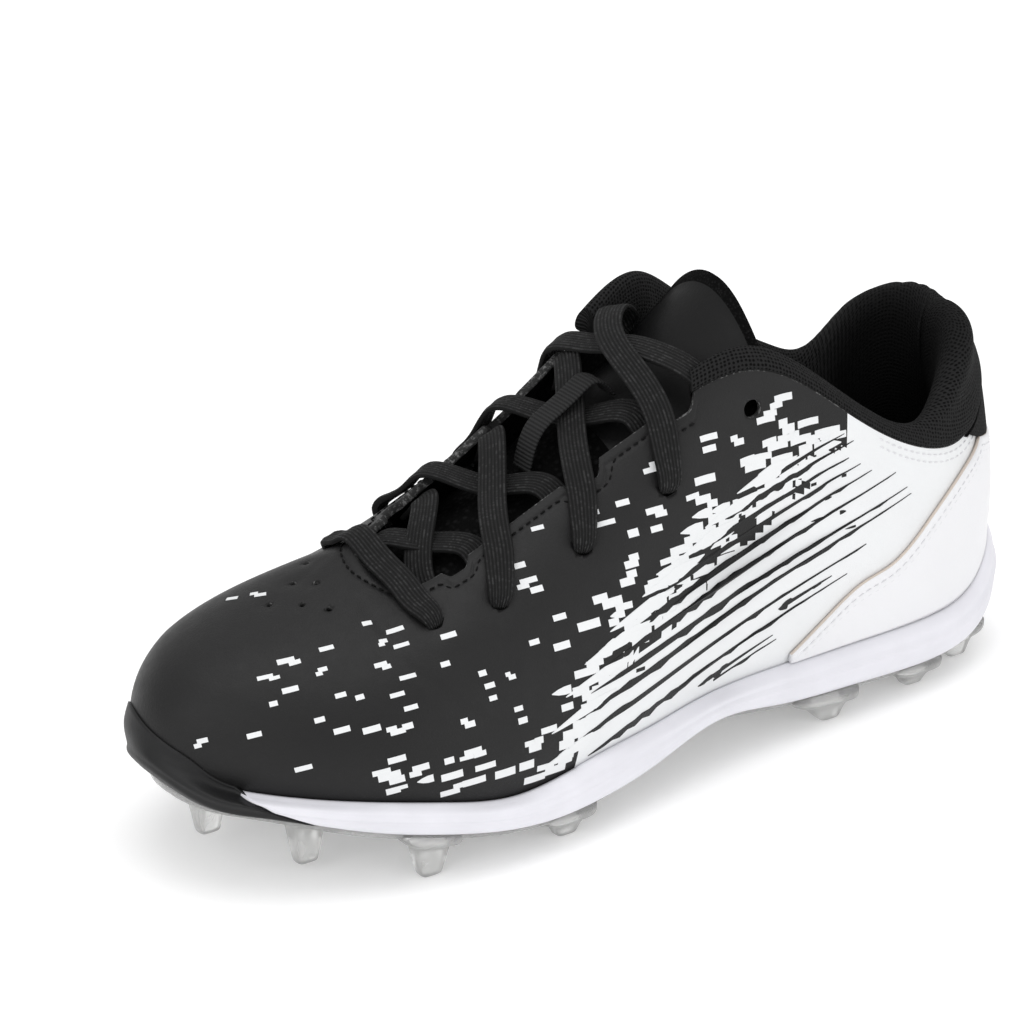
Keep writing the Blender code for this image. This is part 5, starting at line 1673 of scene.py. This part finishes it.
def stud(index, row):
    """One stud, rounded, with the flared pad at its root."""
    x, y, tip, size, reach = row
    x *= LENGTH
    y *= BALL_WIDTH
    tip *= SOLE_STACK
    pad = size * PAD_SIZE * PAD_SLIM
    size *= STUD_SIZE * STUD_SLIM
    reach *= STUD_SIZE
    count = 36
    turn = np.linspace(0.0, 2.0 * math.pi, count, endpoint=False) + math.pi / 8.0
    base = side(np.array([x]))[0, 0] - GAP - PLATE_THICKNESS * 0.5
    slope = (side(np.array([x + 0.004]))[0, 0] - side(np.array([x - 0.004]))[0, 0]) / 0.008
    under = base - PLATE_THICKNESS * 0.5
    key = (
        (pad * 0.47, pad * 0.37, base, 1.0, 0.62),
        (pad * 0.47, pad * 0.37, under - PAD_THICKNESS * 0.3, 1.0, 0.62),
        (pad * 0.455, pad * 0.355, under - PAD_THICKNESS * 0.8, 1.0, 0.62),
        (pad * 0.43, pad * 0.33, under - PAD_THICKNESS, 1.0, 0.62),
        (size * 0.56, size * 0.50, under - PAD_THICKNESS * 1.25, 0.95, 0.58),
        (size * 0.48, size * 0.43, under - PAD_THICKNESS * 1.9, 0.8, 0.52),
        (size * 0.40, size * 0.34, tip + (under - tip) * 0.42, 0.4, 0.5),
        (size * 0.325, size * 0.255, tip + size * 0.09, 0.0, 0.5),
        (size * 0.300, size * 0.230, tip + size * 0.03, 0.0, 0.5),
        (size * 0.26, size * 0.19, tip + 0.00001, 0.0, 0.5),
        (size * 0.10, size * 0.07, tip, 0.0, 0.6),
    )
    rings = []
    for half_x, half_y, z, tilt, power in key:
        cx = np.sign(np.cos(turn)) * np.abs(np.cos(turn)) ** power
        cy = np.sign(np.sin(turn)) * np.abs(np.sin(turn)) ** power
        forward = reach * (z - tip) / (base - tip)
        px = x + cx * half_x + np.where(cx > 0.0, cx * forward, 0.0)
        pz = z + (px - x) * slope * tilt
        rings.append(np.column_stack([px, y + cy * half_y, pz]))
    tube("stud_%02d" % index, np.stack(rings), [CLEAR], slot="clear_stud")


def insole():
    """Footbed with a soft upper edge."""
    x = even_stations(0.0022)
    s = slab_stations(x)
    rows = []
    inset = FEATHER_INSET + WALL + LINING_GAP
    for more, rise in ((0.0, 0.0), (0.0, INSOLE_THICKNESS - 0.0009), (0.0003, INSOLE_THICKNESS - 0.0003),
                       (0.0011, INSOLE_THICKNESS)):
        p = outline(s, inset + more)[0]
        rows.append(np.column_stack([p, side(p[:, 0])[:, 2] + rise]))
    slab("insole_cloth", np.stack(rows, axis=1), [LINING], "insole", "black_lining")


# Laces.
LACE_UP = np.array([0.34, 0.0, 0.94])
RIBBON_ROWS = 110
RIBBON_AROUND = 28


def ribbon(name, points, facing, width, thick, mat, slot, node=None):
    """Flat cord with rounded edges and shallow lengthwise ribs."""
    points = np.asarray(points, float)
    facing = np.asarray(facing, float)
    steps = np.linalg.norm(np.diff(points, axis=0), axis=1)
    knots = np.concatenate([[0.0], np.cumsum(steps)])
    knots = knots / knots[-1]
    track = Track(points, knots)
    t = np.linspace(0.0, 1.0, RIBBON_ROWS)
    centre = track(t)
    up = np.column_stack([np.interp(t, knots, unit(facing)[:, k]) for k in range(3)])
    wide = np.interp(t, knots, width)
    deep = np.interp(t, knots, thick)
    along = unit(np.gradient(centre, axis=0))
    across = unit(np.cross(along, up))
    up = np.cross(across, along)
    turn = np.linspace(0.0, 2.0 * math.pi, RIBBON_AROUND, endpoint=False)
    a = np.sign(np.cos(turn)) * np.abs(np.cos(turn)) ** 0.75
    b = np.sign(np.sin(turn)) * np.abs(np.sin(turn)) ** 0.55
    rib = 1.0 + 0.10 * np.cos(a * 2.0 * math.pi * 2.5 + math.pi) * np.abs(b)
    grid = (centre[:, None, :] + across[:, None, :] * (a[None, :, None] * wide[:, None, None] * 0.5)
            + up[:, None, :] * ((b * rib)[None, :, None] * deep[:, None, None] * 0.5))
    length = np.concatenate([[0.0], np.cumsum(np.linalg.norm(np.diff(centre, axis=0), axis=1))])
    chart = np.stack([np.broadcast_to((a * 0.5 + 0.5)[None, :], grid.shape[:2]),
                      np.broadcast_to(length[:, None], grid.shape[:2])], axis=2)
    return tube(name, grid, [mat], None, chart, node, slot)


def midway(one, two, rise):
    """Row of a lace run midway between the last of one and the first of two, lifted."""
    return one * 0.5 + two * 0.5 + LACE_UP * rise, LACE_UP, LACE_WIDTH, LACE_THICKNESS


def from_eyelet(outer, index, toward):
    """Lace rows out of the eyelet and over the edge, straight toward a point."""
    c, n, s0, v0 = EYES[index if outer else index + len(EYELETS)]
    lift = LACE_GAP + LACE_THICKNESS * 0.5
    near = s0 + np.linspace(-0.05, 0.05, 201)
    edge = skin(near, np.ones(201))[:, :2]
    way = unit(np.asarray(toward)[:2] - c[:2])
    off = np.abs((edge[:, 0] - c[0]) * way[1] - (edge[:, 1] - c[1]) * way[0])
    s1 = near[np.argmin(off)]
    t = unit(skin(np.array([s1]), np.array([1.0]))[0] - c)
    rows = [
        (c - n * 0.0042 - t * 0.0008, -t, 0.0036, 0.0021),
        (c - n * 0.0012 - t * 0.0005, -t * 0.9 + n * 0.2, 0.0038, 0.0023),
        (c + n * 0.0011 + t * 0.0008, -t * 0.5 + n * 0.8, 0.0054, 0.0023),
    ]
    for share, width in ((0.35, 0.0064), (0.68, 0.0068)):
        p, m = surface_spot(s0 + (s1 - s0) * share, v0 + (1.0 - v0) * share, lift)
        rows.append((p, m, width, LACE_THICKNESS * 1.15))
    p, m = surface_spot(s1, 1.0, lift + LACE_GAP * 0.8)
    rows.append((p, m * 0.8 + LACE_UP * 0.2, LACE_WIDTH, LACE_THICKNESS * 1.1))
    return rows


def under_edge(outer, index):
    """Lace rows out of sight under the edge beside an eyelet, the hidden ones last."""
    s = np.array([EYES[index if outer else index + len(EYELETS)][2]])
    length = rib_length(s)[0]
    rows = []
    for reach, depth in ((0.0030, 0.0030), (-0.0030, WALL + 0.0016), (-0.0065, WALL + 0.0020)):
        p, n = surface_spot(s[0], 1.0 + min(reach, 0.0) / length, -depth)
        way = unit(skin(s, 1.0)[0] - skin(s, 0.98)[0])
        rows.append((p + way * max(reach, 0.0), LACE_UP * 0.6 + n * 0.4, LACE_WIDTH, LACE_THICKNESS))
    return rows


def run_lace(name, rows, node=None):
    """One lace run through rows of point, facing, width and depth."""
    points, facing, width, thick = zip(*rows)
    return ribbon(name, points, facing, width, thick, LACE, "black_lace", node)


def laces():
    """Every lace run, through the eyelets."""
    left = from_eyelet(True, 0, EYES[len(EYELETS)][0])
    right = from_eyelet(False, 0, EYES[0][0])
    middle = midway(left[-1][0], right[-1][0], 0.0008)
    run_lace("lace_run_bar", left + [middle] + right[::-1], "lace_bar")
    for index, outer in enumerate((True, False)):
        a = under_edge(outer, 0)
        b = under_edge(not outer, 1)
        middle = midway(a[0][0], b[0][0], 0.0020 if outer else 0.0004)
        run_lace("lace_run_low_%d" % index, a[::-1] + [middle] + b, "lace_cross_0" if index == 0 else None)
    for number in (1, 2):
        for outer in (True, False):
            end = under_edge(not outer, number + 1)
            rows = from_eyelet(outer, number, end[0][0])
            middle = midway(rows[-1][0], end[0][0], CROSS_RISE + (0.0012 if outer else -0.0008))
            name = "lace_run_%d_%s" % (number, "outer" if outer else "inner")
            run_lace(name, rows + [middle] + end, "lace_cross_%d" % number if outer else None)
    scale = np.array([LENGTH, BALL_WIDTH, INSTEP_HEIGHT])
    for outer, table in ((True, TOP_OUTER), (False, TOP_INNER)):
        rows = from_eyelet(outer, 3, np.array(table[1]) * scale)
        for row in table:
            rows.append((np.array(row) * scale, LACE_UP, LACE_WIDTH, LACE_THICKNESS))
        run_lace("lace_run_top_%s" % ("outer" if outer else "inner"), rows, "lace_top" if outer else None)


def keeper():
    """Webbing strap along the tongue over the third crossing."""
    rows = np.array(TONGUE)
    points = []
    for share, lift in KEEPER:
        x = KEEPER_PLACE * LENGTH - share * KEEPER_LENGTH
        z = np.interp(x / LENGTH, rows[::-1, 0], rows[::-1, 2]) * INSTEP_HEIGHT
        points.append((x, KEEPER_SIDE * BALL_WIDTH, z + lift * KEEPER_RISE + KEEPER_THICKNESS))
    count = len(points)
    ribbon("keeper_strap", points, [LACE_UP] * count, [KEEPER_WIDTH] * count,
           [KEEPER_THICKNESS * 1.2] * count, WEBBING, "black_webbing", "lace_keeper")


upper()
dashes()
chips()
streaks("print_black", BLACK_STREAKS, SKIN, 3, 0.16, 0.00010)
streaks("print_white", WHITE_STREAKS, PRINT, 8, 0.60, 0.00013)
upper_stitches()
counter()
collar()
heel_band()
tongue()
midsole()
guard()
sole_plate()
insole()
laces()
keeper()

for obj, node, slot in finished:
    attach(obj, "root")
    if node:
        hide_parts(node)


# Floor, light and camera.
def stage_floor():
    """Plain pale floor."""
    mesh = bpy.data.meshes.new("floor")
    mesh.from_pydata([(-4, -4, 0), (4, -4, 0), (4, 4, 0), (-4, 4, 0)], [], [(0, 1, 2, 3)])
    look = Look("floor", (0.92, 0.92, 0.92), 0.9, Specular_IOR_Level=0.0, Emission_Strength=0.22)
    look.shader.inputs["Emission Color"].default_value = (1.0, 1.0, 1.0, 1.0)
    look.colour(look.mix(look.noise(3.0), (0.91, 0.91, 0.91), (0.93, 0.93, 0.93)))
    mesh.materials.append(look.mat)
    obj = bpy.data.objects.new("floor", mesh)
    bpy.context.scene.collection.objects.link(obj)


def soft_light(name, place, size, power):
    """Rectangular lamp turned to the shoe."""
    data = bpy.data.lights.new(name, "AREA")
    data.shape = "RECTANGLE"
    data.size, data.size_y = size
    data.energy = power
    obj = bpy.data.objects.new(name, data)
    obj.location = place
    obj.rotation_euler = (LIGHT_AIM - Vector(place)).to_track_quat("-Z", "Y").to_euler()
    bpy.context.scene.collection.objects.link(obj)


LIGHT_AIM = Vector((0.0, 0.0, 0.05))
LIGHTS = (
    # name, place, size, watts
    ("top", (0.1, 0.1, 1.5), (1.2, 1.0), 7.0),
    ("toe_side", (1.5, 0.5, 0.9), (1.0, 0.8), 5.0),
    ("heel_side", (-0.6, 1.5, 0.6), (1.0, 0.8), 4.0),
)
stage_floor()
for name, place, size, power in LIGHTS:
    soft_light(name, place, size, power)

world = bpy.data.worlds.new("studio")
world.use_nodes = True
sky = world.node_tree.nodes["Background"]
sky.inputs["Color"].default_value = (1.0, 1.0, 1.0, 1.0)
sky.inputs["Strength"].default_value = 0.72
bpy.context.scene.world = world
bpy.context.scene.view_settings.view_transform = "Standard"

# Camera at the photograph's angle, in degrees round the shoe from the toe and above the floor.
AIM = Vector((0.00975, -0.01549, 0.0566))
ROUND = math.radians(55.0)
ABOVE = math.radians(25.0)
DISTANCE = 1.150
LENS = 173.1
AWAY = Vector((math.cos(ROUND) * math.cos(ABOVE), math.sin(ROUND) * math.cos(ABOVE), math.sin(ABOVE)))
camera = bpy.data.cameras.new("camera")
camera.sensor_width = 36.0
camera.lens = LENS
eye = bpy.data.objects.new("camera", camera)
eye.location = AIM + AWAY * DISTANCE
eye.rotation_euler = (-AWAY).to_track_quat("-Z", "Y").to_euler()
bpy.context.scene.collection.objects.link(eye)
bpy.context.scene.camera = eye
